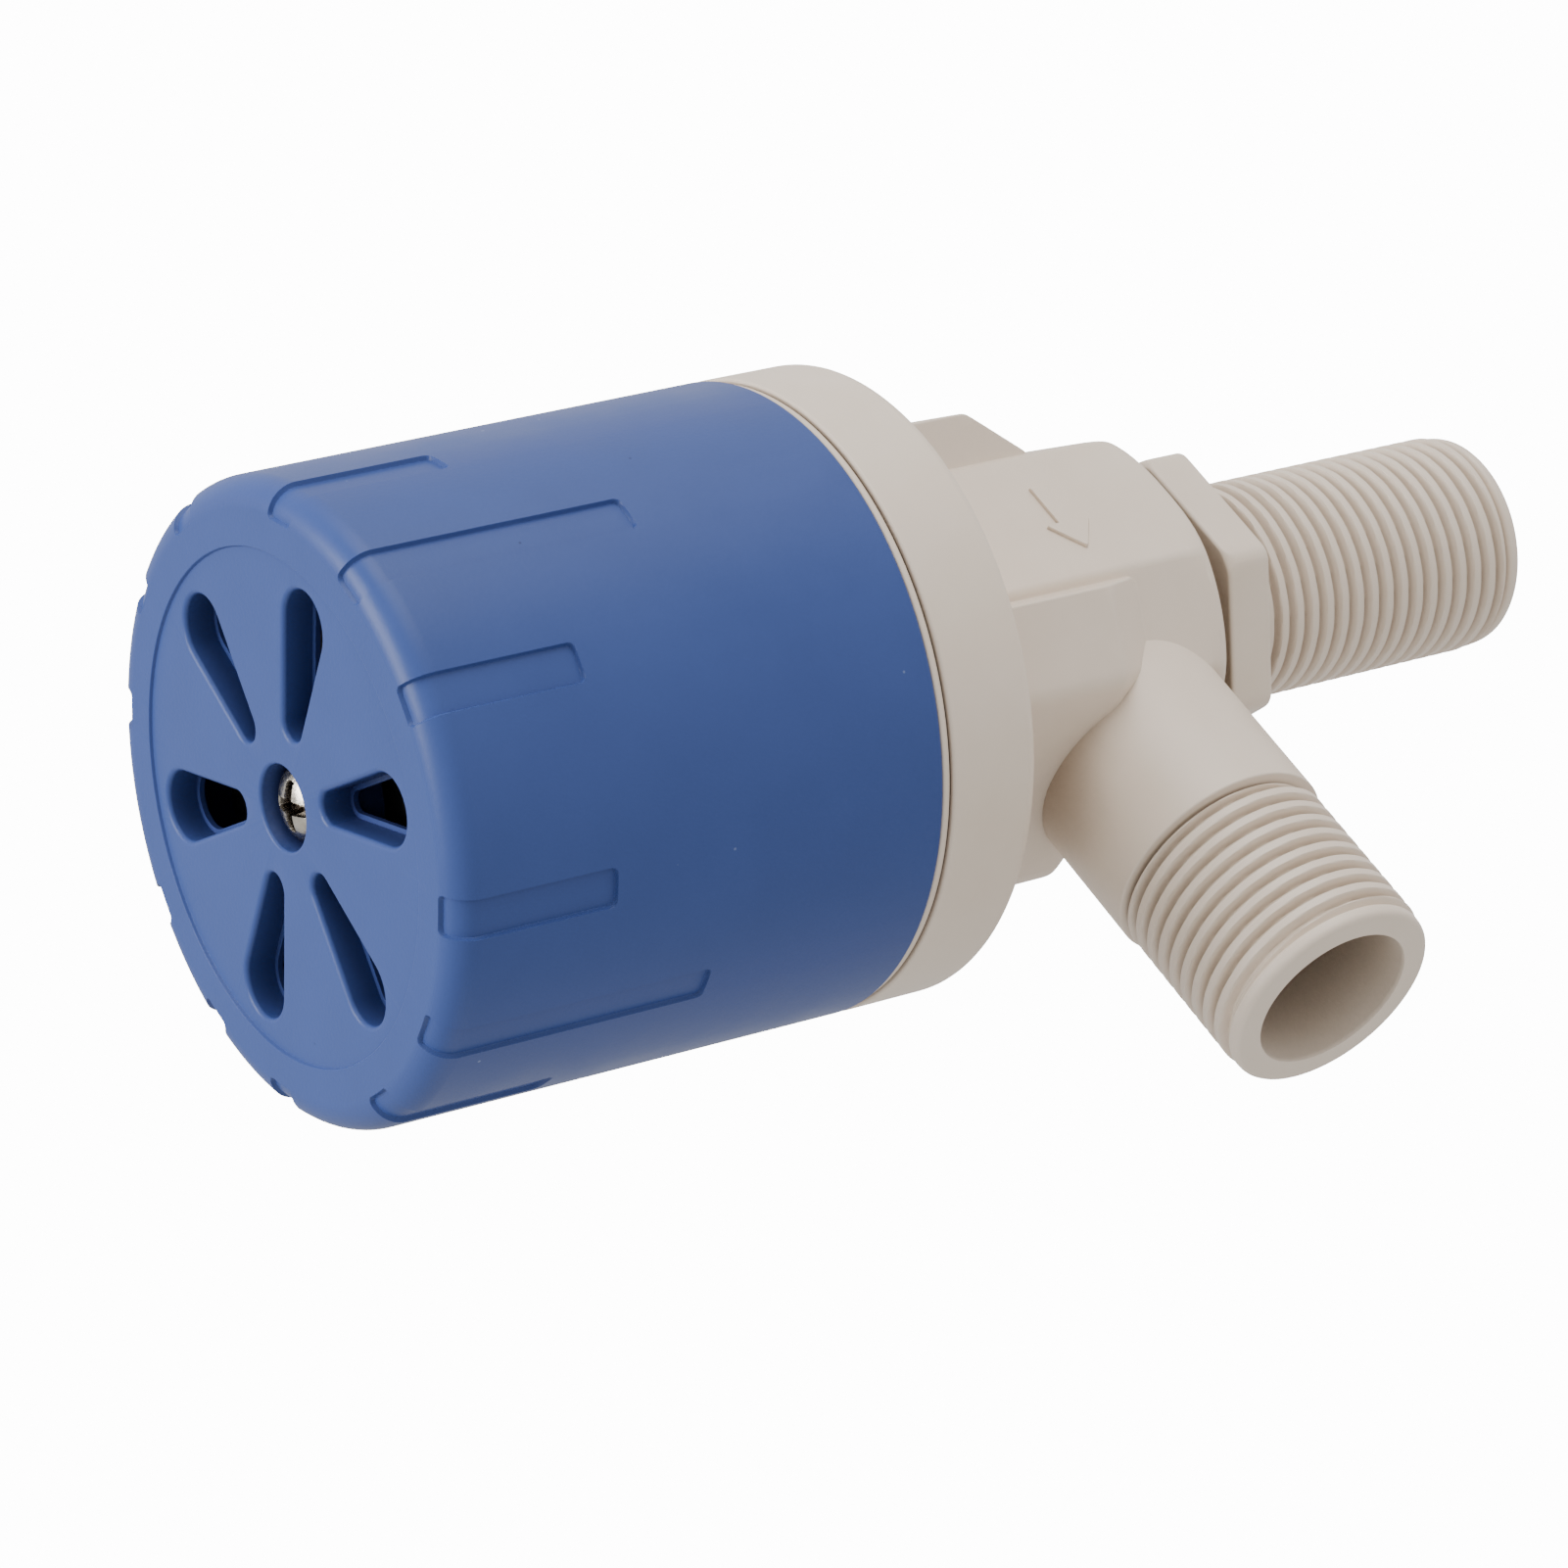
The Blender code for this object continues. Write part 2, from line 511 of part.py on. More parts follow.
def make_pilot_cover(foot, surface):
    """The cover between body and shell: float post, pilot nozzle and the lever's two ears."""
    skirt_inside = COVER_SKIRT_RADIUS - COVER_SKIRT_WALL
    draft = 0.4 * MM
    outline = [(0, COVER_TOP), (COVER_BODY_RADIUS, COVER_TOP), (COVER_BODY_RADIUS, COVER_RIM_TOP),
               (COVER_RIM_RADIUS, COVER_RIM_TOP), (COVER_RIM_RADIUS, COVER_RIM_BOTTOM),
               (COVER_SKIRT_RADIUS, COVER_RIM_BOTTOM), (COVER_SKIRT_RADIUS, COVER_SKIRT_END),
               (skirt_inside, COVER_SKIRT_END), (skirt_inside - draft, COVER_CEILING),
               (POST_FLARE_RADIUS, COVER_CEILING), (POST_RADIUS, POST_FLARE_START),
               (POST_RADIUS, POST_FOOT), (POST_HOLE, POST_FOOT), (POST_HOLE, POST_HOLE_END),
               (0, POST_HOLE_END)]
    cover = turned("pilot_cover", outline, AROUND_LARGE, surface, foot)

    nozzle_at = (LEVER_X, PIVOT_Y - PILOT_ARM)
    tip_radius, nozzle_radius, cone_height = 1.1 * MM, 2.0 * MM, 1.4 * MM
    nozzle = bmesh.new()
    outline = [(0, PILOT_TIP), (tip_radius, PILOT_TIP), (nozzle_radius, PILOT_TIP + cone_height),
               (nozzle_radius, COVER_CEILING + BEYOND), (0, COVER_CEILING + BEYOND)]
    add_turned(nozzle, outline, AROUND_SMALL, nozzle_at)
    boolean(cover, finished("pilot_nozzle_form", nozzle, None, foot), 'UNION')

    ears = bmesh.new()
    inner = LEVER_HALF_WIDTH + EAR_GAP
    for start in (LEVER_X - inner - EAR_THICKNESS, LEVER_X + inner):
        add_box(ears, (start, PIVOT_Y - EAR_HALF, PIVOT_HEIGHT - EAR_HALF),
                (start + EAR_THICKNESS, PIVOT_Y + EAR_HALF, COVER_CEILING + BEYOND))
    boolean(cover, finished("ear_form", ears, None, foot), 'UNION')

    holes = bmesh.new()
    for angle in SCREW_ANGLES:
        outline = [(0, COVER_CEILING - BEYOND), (SCREW_HOLE, COVER_CEILING - BEYOND),
                   (SCREW_HOLE, COVER_TOP + BEYOND), (0, COVER_TOP + BEYOND)]
        add_turned(holes, outline, AROUND_SMALL, on_circle(SCREW_CIRCLE, angle))
    outline = [(0, PILOT_TIP - BEYOND), (PILOT_JET, PILOT_TIP - BEYOND),
               (PILOT_JET, COVER_TOP + BEYOND), (0, COVER_TOP + BEYOND)]
    add_turned(holes, outline, AROUND_SMALL, nozzle_at)
    boolean(cover, finished("cover_hole_cutter", holes, None, foot), 'DIFFERENCE')

    half = inner + EAR_THICKNESS + BEYOND
    pin_hole = [(0, -half), (PIN_HOLE, -half), (PIN_HOLE, half), (0, half)]
    boolean(cover, turned("pin_hole_cutter", pin_hole, AROUND_SMALL, None, foot,
                          (LEVER_X, PIVOT_Y, PIVOT_HEIGHT), (0, math.pi / 2, 0)), 'DIFFERENCE')


def make_lever_pin(foot, surface):
    """The pivot pin through both ears."""
    half = LEVER_HALF_WIDTH + EAR_GAP + EAR_THICKNESS + GAP
    outline = [(0, -half), (PIN_RADIUS, -half), (PIN_RADIUS, half), (0, half)]
    turned("lever_pin", outline, AROUND_SMALL, surface, foot, (LEVER_X, PIVOT_Y, PIVOT_HEIGHT),
           (0, math.pi / 2, 0))


def make_pilot_lever(pivot, plastic, rubber):
    """The lever that the float lifts, with the pad that shuts the pilot nozzle."""
    half, height = LEVER_HALF_WIDTH, LEVER_HALF_HEIGHT
    overhang, heel = 0.8 * MM, 1.5 * MM
    bar = bmesh.new()
    add_box(bar, (-half, -LEVER_ARM - overhang, -height), (half, heel, height))
    lever = finished("pilot_lever", bar, plastic, pivot)

    boss_radius, boss_below, boss_above = 2.6 * MM, 0.2 * MM, 0.9 * MM
    boss = [(0, -height - boss_below), (boss_radius, -height - boss_below),
            (boss_radius, boss_above), (0, boss_above)]
    at_pad = (0, -PILOT_ARM, 0)
    boolean(lever, turned("pad_boss_form", boss, AROUND_SMALL, None, pivot, at_pad), 'UNION')
    hub_radius = 2.05 * MM
    hub = [(0, -half), (hub_radius, -half), (hub_radius, half), (0, half)]
    sideways = (0, math.pi / 2, 0)
    boolean(lever, turned("hub_form", hub, AROUND_SMALL, None, pivot, rotation=sideways), 'UNION')

    pad_radius, pad_thickness = 1.6 * MM, 1.25 * MM
    pocket = [(0, -GAP), (pad_radius + GAP, -GAP), (pad_radius + GAP, boss_above + BEYOND),
              (0, boss_above + BEYOND)]
    boolean(lever, turned("pad_pocket_cutter", pocket, AROUND_SMALL, None, pivot, at_pad),
            'DIFFERENCE')
    hole = [(0, -2 * half), (PIN_HOLE, -2 * half), (PIN_HOLE, 2 * half), (0, 2 * half)]
    boolean(lever, turned("lever_hole_cutter", hole, AROUND_SMALL, None, pivot, rotation=sideways),
            'DIFFERENCE')
    pad = [(0, 0), (pad_radius, 0), (pad_radius, pad_thickness), (0, pad_thickness)]
    turned("pilot_pad", pad, AROUND_SMALL, rubber, pivot, at_pad)


def make_float(axis, surface):
    """A hollow ring float in two pieces: an open cup, and a lid with the push stem."""
    hole, tube = 4.0 * MM, 5.2 * MM
    outer, inner = 25.4 * MM, 24.0 * MM
    low, rim, bottom = 7.8 * MM, 33.8 * MM, 1.4 * MM
    corner, inner_corner = 2 * MM, 1.1 * MM
    floor = low + bottom
    outline = [(hole, low), (outer - corner, low), (outer, low + corner), (outer, rim),
               (inner, rim), (inner, floor + inner_corner), (inner - inner_corner, floor),
               (tube, floor), (tube, rim), (hole, rim)]
    turned("float_cup", outline, AROUND_MEDIUM, surface, axis)

    seat, top, spigot_end = rim + GAP, 35.5 * MM, 32.4 * MM
    spigot, spigot_wall = inner - GAP, 1.1 * MM
    outline = [(hole, seat), (hole, top), (outer, top), (outer, seat), (spigot, seat),
               (spigot, spigot_end), (spigot - spigot_wall, spigot_end),
               (spigot - spigot_wall, seat)]
    lid = turned("float_lid", outline, AROUND_MEDIUM, surface, axis)
    stem_top, stem_radius, stem_tip, stem_chamfer = 40.95 * MM, 1.5 * MM, 0.9 * MM, 0.5 * MM
    stem_foot = (seat + top) / 2
    stem = bmesh.new()
    outline = [(0, stem_foot), (stem_radius, stem_foot), (stem_radius, stem_top - stem_chamfer),
               (stem_tip, stem_top), (0, stem_top)]
    add_turned(stem, outline, AROUND_SMALL, (LEVER_X, PIVOT_Y - LEVER_ARM))
    boolean(lid, finished("stem_form", stem, None, axis), 'UNION')


def make_pan_screw(name, surface, parent, location, head_radius, head_height, shank_radius,
                   shank_length):
    """A cross-recessed pan-head screw, head down; its location is under the head."""
    point = 1 * MM
    outline = [(0, -head_height), (head_radius * 0.4, -head_height * 0.95),
               (head_radius * 0.75, -head_height * 0.75), (head_radius, -head_height * 0.45),
               (head_radius, 0), (shank_radius, 0), (shank_radius, shank_length - point),
               (shank_radius / 2, shank_length), (0, shank_length)]
    screw = turned(name, outline, 20, surface, parent, location)
    arm, half = head_radius * 0.55, head_radius * 0.13
    cross = [(arm, -half), (arm, half), (half, half), (half, arm), (-half, arm), (-half, half),
             (-arm, half), (-arm, -half), (-half, -half), (-half, -arm), (half, -arm),
             (half, -half)]
    recess = bmesh.new()
    add_prism(recess, cross, -head_height - BEYOND, -head_height * 0.45)
    boolean(screw, finished(name + "_recess", recess, None, parent, location), 'DIFFERENCE')


def main():
    clear_scene()
    body_nylon = material("body_nylon", (0.52, 0.46, 0.41), 0.45)
    shell_blue = material("shell_blue", (0.07, 0.13, 0.33), 0.42)
    inner_plastic = material("inner_acetal", (0.75, 0.75, 0.72), 0.4)
    float_black = material("float_black", (0.02, 0.02, 0.022), 0.5)
    rubber = material("seal_rubber", (0.03, 0.03, 0.03), 0.7)
    steel = material("stainless_steel", (0.62, 0.61, 0.58), 0.25, 1.0)

    foot = empty("foot", (0, 0, -HEX_SHOULDER))
    make_valve_body(foot, body_nylon)
    make_inlet_fitting(foot, body_nylon)
    make_pilot_cover(foot, body_nylon)
    make_float_shell(foot, shell_blue)
    make_seals(foot, rubber)
    make_strainer(foot, inner_plastic)
    make_sleeve(foot, inner_plastic)
    make_lever_pin(foot, steel)
    for number, angle in enumerate(SCREW_ANGLES, start=1):
        make_pan_screw(f"cover_screw_{number}", steel, foot,
                       (*on_circle(SCREW_CIRCLE, angle), COVER_CEILING - GAP),
                       head_radius=2.8 * MM, head_height=2.1 * MM, shank_radius=1.45 * MM,
                       shank_length=13 * MM)
    make_pan_screw("shell_screw", steel, foot, (0, 0, WELL_DEPTH - GAP), head_radius=3.5 * MM,
                   head_height=2.6 * MM, shank_radius=1.3 * MM, shank_length=16 * MM)

    piston_axis = empty("piston_axis", parent=foot)
    make_piston(piston_axis, inner_plastic, rubber)
    make_return_spring(piston_axis, steel)
    float_axis = empty("float_axis", parent=foot)
    make_float(float_axis, float_black)
    lever_pivot = empty("lever_pivot", (LEVER_X, PIVOT_Y, PIVOT_HEIGHT), (LEVER_REST_TILT, 0, 0),
                        foot)
    make_pilot_lever(lever_pivot, inner_plastic, rubber)


main()
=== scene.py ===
"""Looks of a float valve for a water tank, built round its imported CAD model.

The valve hangs upright: inlet at the top, outlet along -Y, blue float shell at the foot. Every
new piece is a closed surface over a grid of points in millimetres, measured from the shell's
foot on the valve's axis, and set into the frame's metres when its mesh is made.
"""
import math

import bmesh
import bpy
import numpy as np
from mathutils import Matrix, Vector


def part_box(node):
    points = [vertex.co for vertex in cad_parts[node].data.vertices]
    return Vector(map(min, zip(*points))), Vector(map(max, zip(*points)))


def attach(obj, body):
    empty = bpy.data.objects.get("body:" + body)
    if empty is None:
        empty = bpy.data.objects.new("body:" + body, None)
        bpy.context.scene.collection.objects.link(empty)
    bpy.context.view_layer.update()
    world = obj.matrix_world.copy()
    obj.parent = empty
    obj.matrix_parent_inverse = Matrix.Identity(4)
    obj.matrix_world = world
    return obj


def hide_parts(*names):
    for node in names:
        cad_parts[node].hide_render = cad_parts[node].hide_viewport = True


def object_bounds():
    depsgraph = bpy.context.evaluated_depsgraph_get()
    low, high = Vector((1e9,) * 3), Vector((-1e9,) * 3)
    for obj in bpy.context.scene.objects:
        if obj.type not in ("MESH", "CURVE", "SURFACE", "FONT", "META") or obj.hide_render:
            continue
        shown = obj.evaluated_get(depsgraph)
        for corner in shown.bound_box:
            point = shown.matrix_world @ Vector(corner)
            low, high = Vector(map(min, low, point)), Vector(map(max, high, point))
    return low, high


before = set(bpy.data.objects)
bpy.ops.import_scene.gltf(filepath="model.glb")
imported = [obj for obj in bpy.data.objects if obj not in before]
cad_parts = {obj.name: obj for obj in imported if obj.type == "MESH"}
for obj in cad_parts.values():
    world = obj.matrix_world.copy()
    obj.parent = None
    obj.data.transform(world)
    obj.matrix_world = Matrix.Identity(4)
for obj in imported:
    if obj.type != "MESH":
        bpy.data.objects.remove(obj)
cad_low, cad_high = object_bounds()

# ---------------------------------------------------------------------------------- valve body
# The body is one injection moulding in glass-filled nylon: a flange ring that the cover screws
# up into, a block with eight flats, four corner ribs over the screws, and the outlet with its
# own pipe thread. Its edges are soft, as moulded edges are.

MM = 0.001
FOOT = cad_low.z


def rounded(corners, radii, steps=4, closed=True):
    """An outline whose corners are arcs. A corner gives way to a curve between two points on its
    sides, weighted by the cosine of half its turn, which is exactly an arc of its radius. Works
    on any stack of outlines; an open one keeps its two end points as they are."""
    corners = np.asarray(corners, float)
    radii = np.broadcast_to(radii, corners.shape[:-1])[..., None]
    before = np.roll(corners, 1, axis=-2) - corners
    after = np.roll(corners, -1, axis=-2) - corners
    before_length = np.linalg.norm(before, axis=-1, keepdims=True)
    after_length = np.linalg.norm(after, axis=-1, keepdims=True)
    before, after = before / before_length, after / after_length
    turn = np.clip(-(before * after).sum(-1, keepdims=True), -0.999, 1)
    room = 0.47 * np.minimum(before_length, after_length)
    reach = np.minimum(np.maximum(radii * np.sqrt((1 - turn) / (1 + turn)), 0.02), room)
    start, end = corners + before * reach, corners + after * reach
    s = np.linspace(0, 1, steps + 1)[:, None]
    weight = 2 * s * (1 - s) * np.sqrt((1 + turn) / 2)[..., None, :]
    arcs = ((1 - s) ** 2 * start[..., None, :] + weight * corners[..., None, :]
            + s ** 2 * end[..., None, :]) / ((1 - s) ** 2 + weight + s ** 2)
    outline = arcs.reshape(*corners.shape[:-2], -1, 2)
    if closed:
        return outline
    inner = outline[..., steps + 1:-(steps + 1), :]
    return np.concatenate([corners[..., :1, :], inner, corners[..., -1:, :]], axis=-2)


def split_long(outline, longest):
    """The same outline with points added along its straight runs, none further apart than given.
    Works on any stack of outlines, which get the same number of points."""
    steps = np.diff(outline, axis=-2)
    lengths = np.linalg.norm(steps, axis=-1).reshape(-1, steps.shape[-2]).max(0)
    counts = np.maximum(1, np.ceil(lengths / longest)).astype(int)
    index = np.repeat(np.arange(len(counts)), counts)
    share = (np.arange(counts.sum()) - np.repeat(np.cumsum(counts) - counts, counts)) / counts[index]
    inner = outline[..., index, :] + share[:, None] * steps[..., index, :]
    return np.concatenate([inner, outline[..., -1:, :]], axis=-2)


def lathe(outline, around):
    """The grid of a turned piece: each (radius, height) row carried round the axis."""
    angles = np.arange(around) * math.tau / around
    radius, height = outline[:, 0, None], outline[:, 1, None]
    return np.stack(np.broadcast_arrays(radius * np.cos(angles), radius * np.sin(angles), height), -1)


def along_outlet(grid, height):
    """A grid made round the upright axis, laid over so that its upward end points along -Y."""
    return np.stack([grid[..., 0], -grid[..., 2], grid[..., 1] + height], -1)


def surface(name, grid, ring=False):
    """A closed mesh over a grid of rows x columns. Columns close on themselves. Rows do too on a
    ring-shaped piece, and otherwise end in a point at the middle of the first and last row."""
    count, around = grid.shape[:2]
    points = grid.reshape(-1, 3)
    row = np.arange(count if ring else count - 1)[:, None]
    column = np.arange(around)[None, :]
    next_row, next_column = (row + 1) % count, (column + 1) % around
    quads = np.stack([row * around + column, row * around + next_column,
                      next_row * around + next_column, next_row * around + column], -1)
    faces = quads.reshape(-1, 4).tolist()
    if not ring:
        points = np.vstack([points, grid[0].mean(0), grid[-1].mean(0)])
        foot, top = count * around, count * around + 1
        last = (count - 1) * around
        this, following = np.arange(around), (np.arange(around) + 1) % around
        faces += np.stack([following, this, np.full(around, foot)], -1).tolist()
        faces += np.stack([last + this, last + following, np.full(around, top)], -1).tolist()
    mesh = bpy.data.meshes.new(name)
    mesh.from_pydata(points * MM + np.array([0, 0, FOOT]), [], faces)
    piece = bpy.data.objects.new(name, mesh)
    bpy.context.scene.collection.objects.link(piece)
    return piece


def merged(piece, tool, operation):
    """Join a tool to a piece ('UNION') or cut it out ('DIFFERENCE'), and take the tool away."""
    step = piece.modifiers.new(tool.name, 'BOOLEAN')
    step.operation = operation
    step.solver = 'EXACT'
    step.object = tool
    shown = piece.evaluated_get(bpy.context.evaluated_depsgraph_get())
    piece.data = bpy.data.meshes.new_from_object(shown)
    piece.modifiers.clear()
    bpy.data.objects.remove(tool)


def smoothed(piece, sharp=38):
    """Smooth shading with creases kept, and normals that follow the larger faces. Points closer
    than a micron, which cuts leave behind, are merged first, so that the surface is closed."""
    mesh_edit = bmesh.new()
    mesh_edit.from_mesh(piece.data)
    bmesh.ops.remove_doubles(mesh_edit, verts=mesh_edit.verts, dist=MM / 1000)
    mesh_edit.to_mesh(piece.data)
    mesh_edit.free()
    piece.data.shade_smooth()
    piece.data.set_sharp_from_angle(angle=math.radians(sharp))
    weighting = piece.modifiers.new("weighted_normals", 'WEIGHTED_NORMAL')
    weighting.keep_sharp = True
    return piece


def thread_rows(start, end, angles):
    """Radii and heights of a moulded pipe thread between two heights. Over one pitch the radius
    stays at the crest and dips into a groove by a smooth step down and up again, six tenths of
    a pitch wide in all. Both ends run out into a plain groove, so the rings there are whole."""
    along = np.arange(start, end, PITCH / 20)
    turns = along[:, None] / PITCH - angles / math.tau
    dip = np.clip((0.31 - np.abs(turns % 1 - 0.5)) / 0.25, 0, 1)
    ridge = THREAD_CREST - THREAD_DEPTH * dip * dip * (3 - 2 * dip)
    rise = np.clip((along - start) / 0.55, 0, 1) * np.clip((end - along) / 0.7, 0, 1)
    rise = (rise * rise * (3 - 2 * rise))[:, None]
    plain = THREAD_CREST - THREAD_DEPTH * 0.8
    return plain + (ridge - plain) * rise, along


RING_RADIUS, RING_BOTTOM, RING_TOP = 29.25, 50.7, 59.9
BLOCK_HALF, BLOCK_FLAT_HALF, DOME_TOP, DOME_RADIUS = 15.76, 8.1, 91.4, 2.8
BLOCK_CORNER, RIB_CORNER, FILLED_CORNER = 1.3, 0.25, 2.8
RIB_REACH, RIB_HALF, RIB_FOLD, RIB_TOP = 21.8, 4.4, 75.2, 81.5
SKIRT_INNER, SKIRT_ROOF = 26.0, 57.4
OUTLET_HEIGHT, OUTLET_REACH, NECK_RADIUS, NECK_END = 81.1, 49.7, 10.8, 31.6
THREAD_CREST, THREAD_DEPTH, PITCH = 10.478, 0.95, 1.814


def block_section(height, inset):
    """The block's outline at a height: eight flats, and a rib out of each corner flat whose end
    face stands upright, then slopes in to the flat. On the outlet's side the wall between two
    ribs is filled out flush with them. Corners run anticlockwise from the +X flat."""
    half = BLOCK_HALF - inset
    flat = BLOCK_FLAT_HALF - inset * math.tan(math.pi / 8)
    corner_flat = (half + flat) / math.sqrt(2)
    slope = (RIB_REACH - (BLOCK_HALF + BLOCK_FLAT_HALF) / math.sqrt(2)) / (RIB_TOP - RIB_FOLD)
    past_fold = height - RIB_FOLD
    soft_fold = (past_fold + np.sqrt(past_fold ** 2 + 0.35 ** 2)) / 2
    reach = np.maximum(RIB_REACH - slope * soft_fold, corner_flat + 0.001)
    fade = np.clip((height - RIB_TOP + 0.6) / 1.6, 0, 1)
    side = RIB_HALF - 1.6 * fade
    along = np.stack([half, corner_flat, reach, reach, corner_flat], -1)
    across = np.stack([flat, -side, -side, side, side], -1)
    turn = math.pi / 4
    out_x = along * math.cos(turn) - across * math.sin(turn)
    out_y = along * math.sin(turn) + across * math.cos(turn)
    out_x[..., 0], out_y[..., 0] = half, flat
    first = np.stack([out_x, out_y], -1)
    last = np.stack([flat, half], -1)[..., None, :]
    quadrant = np.concatenate([first, last], axis=-2)
    turns = [np.stack([quadrant @ np.array([math.cos(a), -math.sin(a)]),
                       quadrant @ np.array([math.sin(a), math.cos(a)])], -1)
             for a in np.arange(4) * math.pi / 2]
    section = np.concatenate(turns, axis=-2)
    filled = slice(16, 20)
    flush = ((reach + side) / math.sqrt(2))[..., None]
    section[..., filled, 1] = np.minimum(section[..., filled, 1], -flush)
    return section


def block_grid():
    """Sections from inside the flange ring up to the top, where a turned quarter round takes the
    corners off: there a section keeps within a circle whose radius follows that quarter round."""
    upright = np.concatenate([np.linspace(RING_TOP - 1.5, RIB_FOLD - 1, 4),
                              np.linspace(RIB_FOLD - 0.6, RIB_FOLD + 0.6, 7),
                              np.linspace(RIB_FOLD + 1.5, RIB_TOP - 0.8, 4),
                              np.linspace(RIB_TOP - 0.5, RIB_TOP + 1.1, 7),
                              np.linspace(RIB_TOP + 2, DOME_TOP - 4, 3)])
    bend = np.linspace(0, math.pi / 2, 16)
    height = np.concatenate([upright, DOME_TOP - DOME_RADIUS * (1 - np.sin(bend))])
    corner_radii = np.tile([BLOCK_CORNER, 0.15, RIB_CORNER, RIB_CORNER, 0.15, BLOCK_CORNER], 4)
    outer_corners_of_filled_wall = [15, 20]
    corner_radii[outer_corners_of_filled_wall] = FILLED_CORNER
    outline = rounded(block_section(height, 0 * height), corner_radii)
    outline = split_long(np.concatenate([outline, outline[:, :1]], axis=1), 1.2)[:, :-1]
    corner = math.hypot(BLOCK_HALF, BLOCK_FLAT_HALF)
    limit = (corner - DOME_RADIUS * (1 - np.cos(bend)))[:, None]
    top, soft = outline[-len(bend):], 0.5
    radius = np.linalg.norm(top, axis=-1)
    held = (radius + limit - np.sqrt((radius - limit) ** 2 + soft ** 2)) / 2
    outline[-len(bend):] = top * (held / radius)[..., None]
    levels = np.broadcast_to(height[:, None], outline.shape[:-1])
    return np.concatenate([outline, levels[..., None]], -1)


def outlet_grid():
    """Neck, pipe thread and rounded end round the outlet's axis. A thin groove parts the neck
    from the thread. One column of the neck, on its lower side, stands a hair proud: the flash
    where the mould's halves met."""
    neck = rounded([(0, 8), (NECK_RADIUS, 8), (NECK_RADIUS, NECK_END), (9.72, NECK_END + 0.2)],
                   0.2, closed=False)
    lip = rounded([(9.72, OUTLET_REACH - 1.5), (10.3, OUTLET_REACH - 1.25), (10.2, OUTLET_REACH),
                   (0, OUTLET_REACH)], [0, 0.4, 0.95, 0], closed=False)
    angles = np.arange(144) * math.tau / 144
    radius, along = thread_rows(neck[-1, 1] + 0.05, lip[0, 1], angles)
    thread = np.stack([radius * np.cos(angles), radius * np.sin(angles),
                       np.broadcast_to(along[:, None], radius.shape)], -1)
    grid = np.concatenate([lathe(neck, 144), thread, lathe(lip, 144)])
    lowest, flash = 108, 1.004
    grid[:len(neck), lowest, :2] *= flash
    return along_outlet(grid, OUTLET_HEIGHT)


valve_body = surface("valve_body_moulding", lathe(
    rounded([(0, RING_BOTTOM), (RING_RADIUS, RING_BOTTOM), (RING_RADIUS, RING_TOP), (0, RING_TOP)],
            [0, 0.3, 1.2, 0], steps=8, closed=False), 192))
merged(valve_body, surface("block", block_grid()), 'UNION')

ARROW_HEIGHT, ARROW_TAIL, ARROW_NECK, ARROW_TIP = 78.6, 3.7, -1.4, -4.95
ARROW_SHAFT_HALF, ARROW_HEAD_HALF, ARROW_PROUD = 0.98, 2.45, 0.34


def arrow_grid():
    """The raised flow arrow on the -X flat, pointing to the outlet, with drawn-in sides."""
    corners = np.array([(ARROW_TIP, 0), (ARROW_NECK, ARROW_HEAD_HALF),
                        (ARROW_NECK, ARROW_SHAFT_HALF), (ARROW_TAIL, ARROW_SHAFT_HALF),
                        (ARROW_TAIL, -ARROW_SHAFT_HALF), (ARROW_NECK, -ARROW_SHAFT_HALF),
                        (ARROW_NECK, -ARROW_HEAD_HALF)])
    centre = np.array([ARROW_NECK - 0.3, 0])
    proud = np.array([-0.4, -0.4, ARROW_PROUD - 0.12, ARROW_PROUD, ARROW_PROUD])
    shrink = np.array([0.02, 1.02, 1.0, 0.96, 0.02])
    outlines = rounded(centre + (corners - centre) * shrink[:, None, None], 0.15, steps=3)
    outward = np.broadcast_to(-BLOCK_HALF - proud[:, None], outlines.shape[:-1])
    grid = np.stack([outward, outlines[..., 0], ARROW_HEIGHT + outlines[..., 1]], -1)
    return grid[:, ::-1]


merged(valve_body, surface("arrow", arrow_grid()), 'UNION')
merged(valve_body, surface("outlet", outlet_grid()), 'UNION')

CHAMBER_RADIUS, CHAMBER_TOP, STUB_BORE, SEAL_POCKET, SEAL_FLOOR = 13.0, 83.5, 11.6, 13.4, 89.2
SCREW_CIRCLE, SCREW_HOLE, SCREW_HOLE_TOP = 18.5, 1.75, 67
BORE_RADIUS, BORE_START, BORE_MOUTH, PASSAGE_RADIUS, PASSAGE_HEIGHT = 7.6, 22, 8.6, 5.0, 78.3

chamber = [(0, RING_BOTTOM - 1), (SKIRT_INNER, RING_BOTTOM - 1), (SKIRT_INNER, SKIRT_ROOF),
           (CHAMBER_RADIUS, SKIRT_ROOF), (CHAMBER_RADIUS, CHAMBER_TOP), (STUB_BORE, CHAMBER_TOP),
           (STUB_BORE, SEAL_FLOOR), (SEAL_POCKET, SEAL_FLOOR), (SEAL_POCKET, DOME_TOP + 1),
           (0, DOME_TOP + 1)]
merged(valve_body, surface("chamber", lathe(np.array(chamber, float), 96)), 'DIFFERENCE')
screw_places = [np.array([SCREW_CIRCLE * math.cos(angle), SCREW_CIRCLE * math.sin(angle), 0])
                for angle in np.radians([45, 135, 225, 315])]
for screw_place in screw_places:
    hole = lathe(np.array([(0, SKIRT_ROOF - 1), (SCREW_HOLE, SKIRT_ROOF - 1),
                           (SCREW_HOLE, SCREW_HOLE_TOP), (0, SCREW_HOLE_TOP)]), 24)
    merged(valve_body, surface("screw_hole", hole + screw_place), 'DIFFERENCE')
bore_end = OUTLET_REACH + 1.0
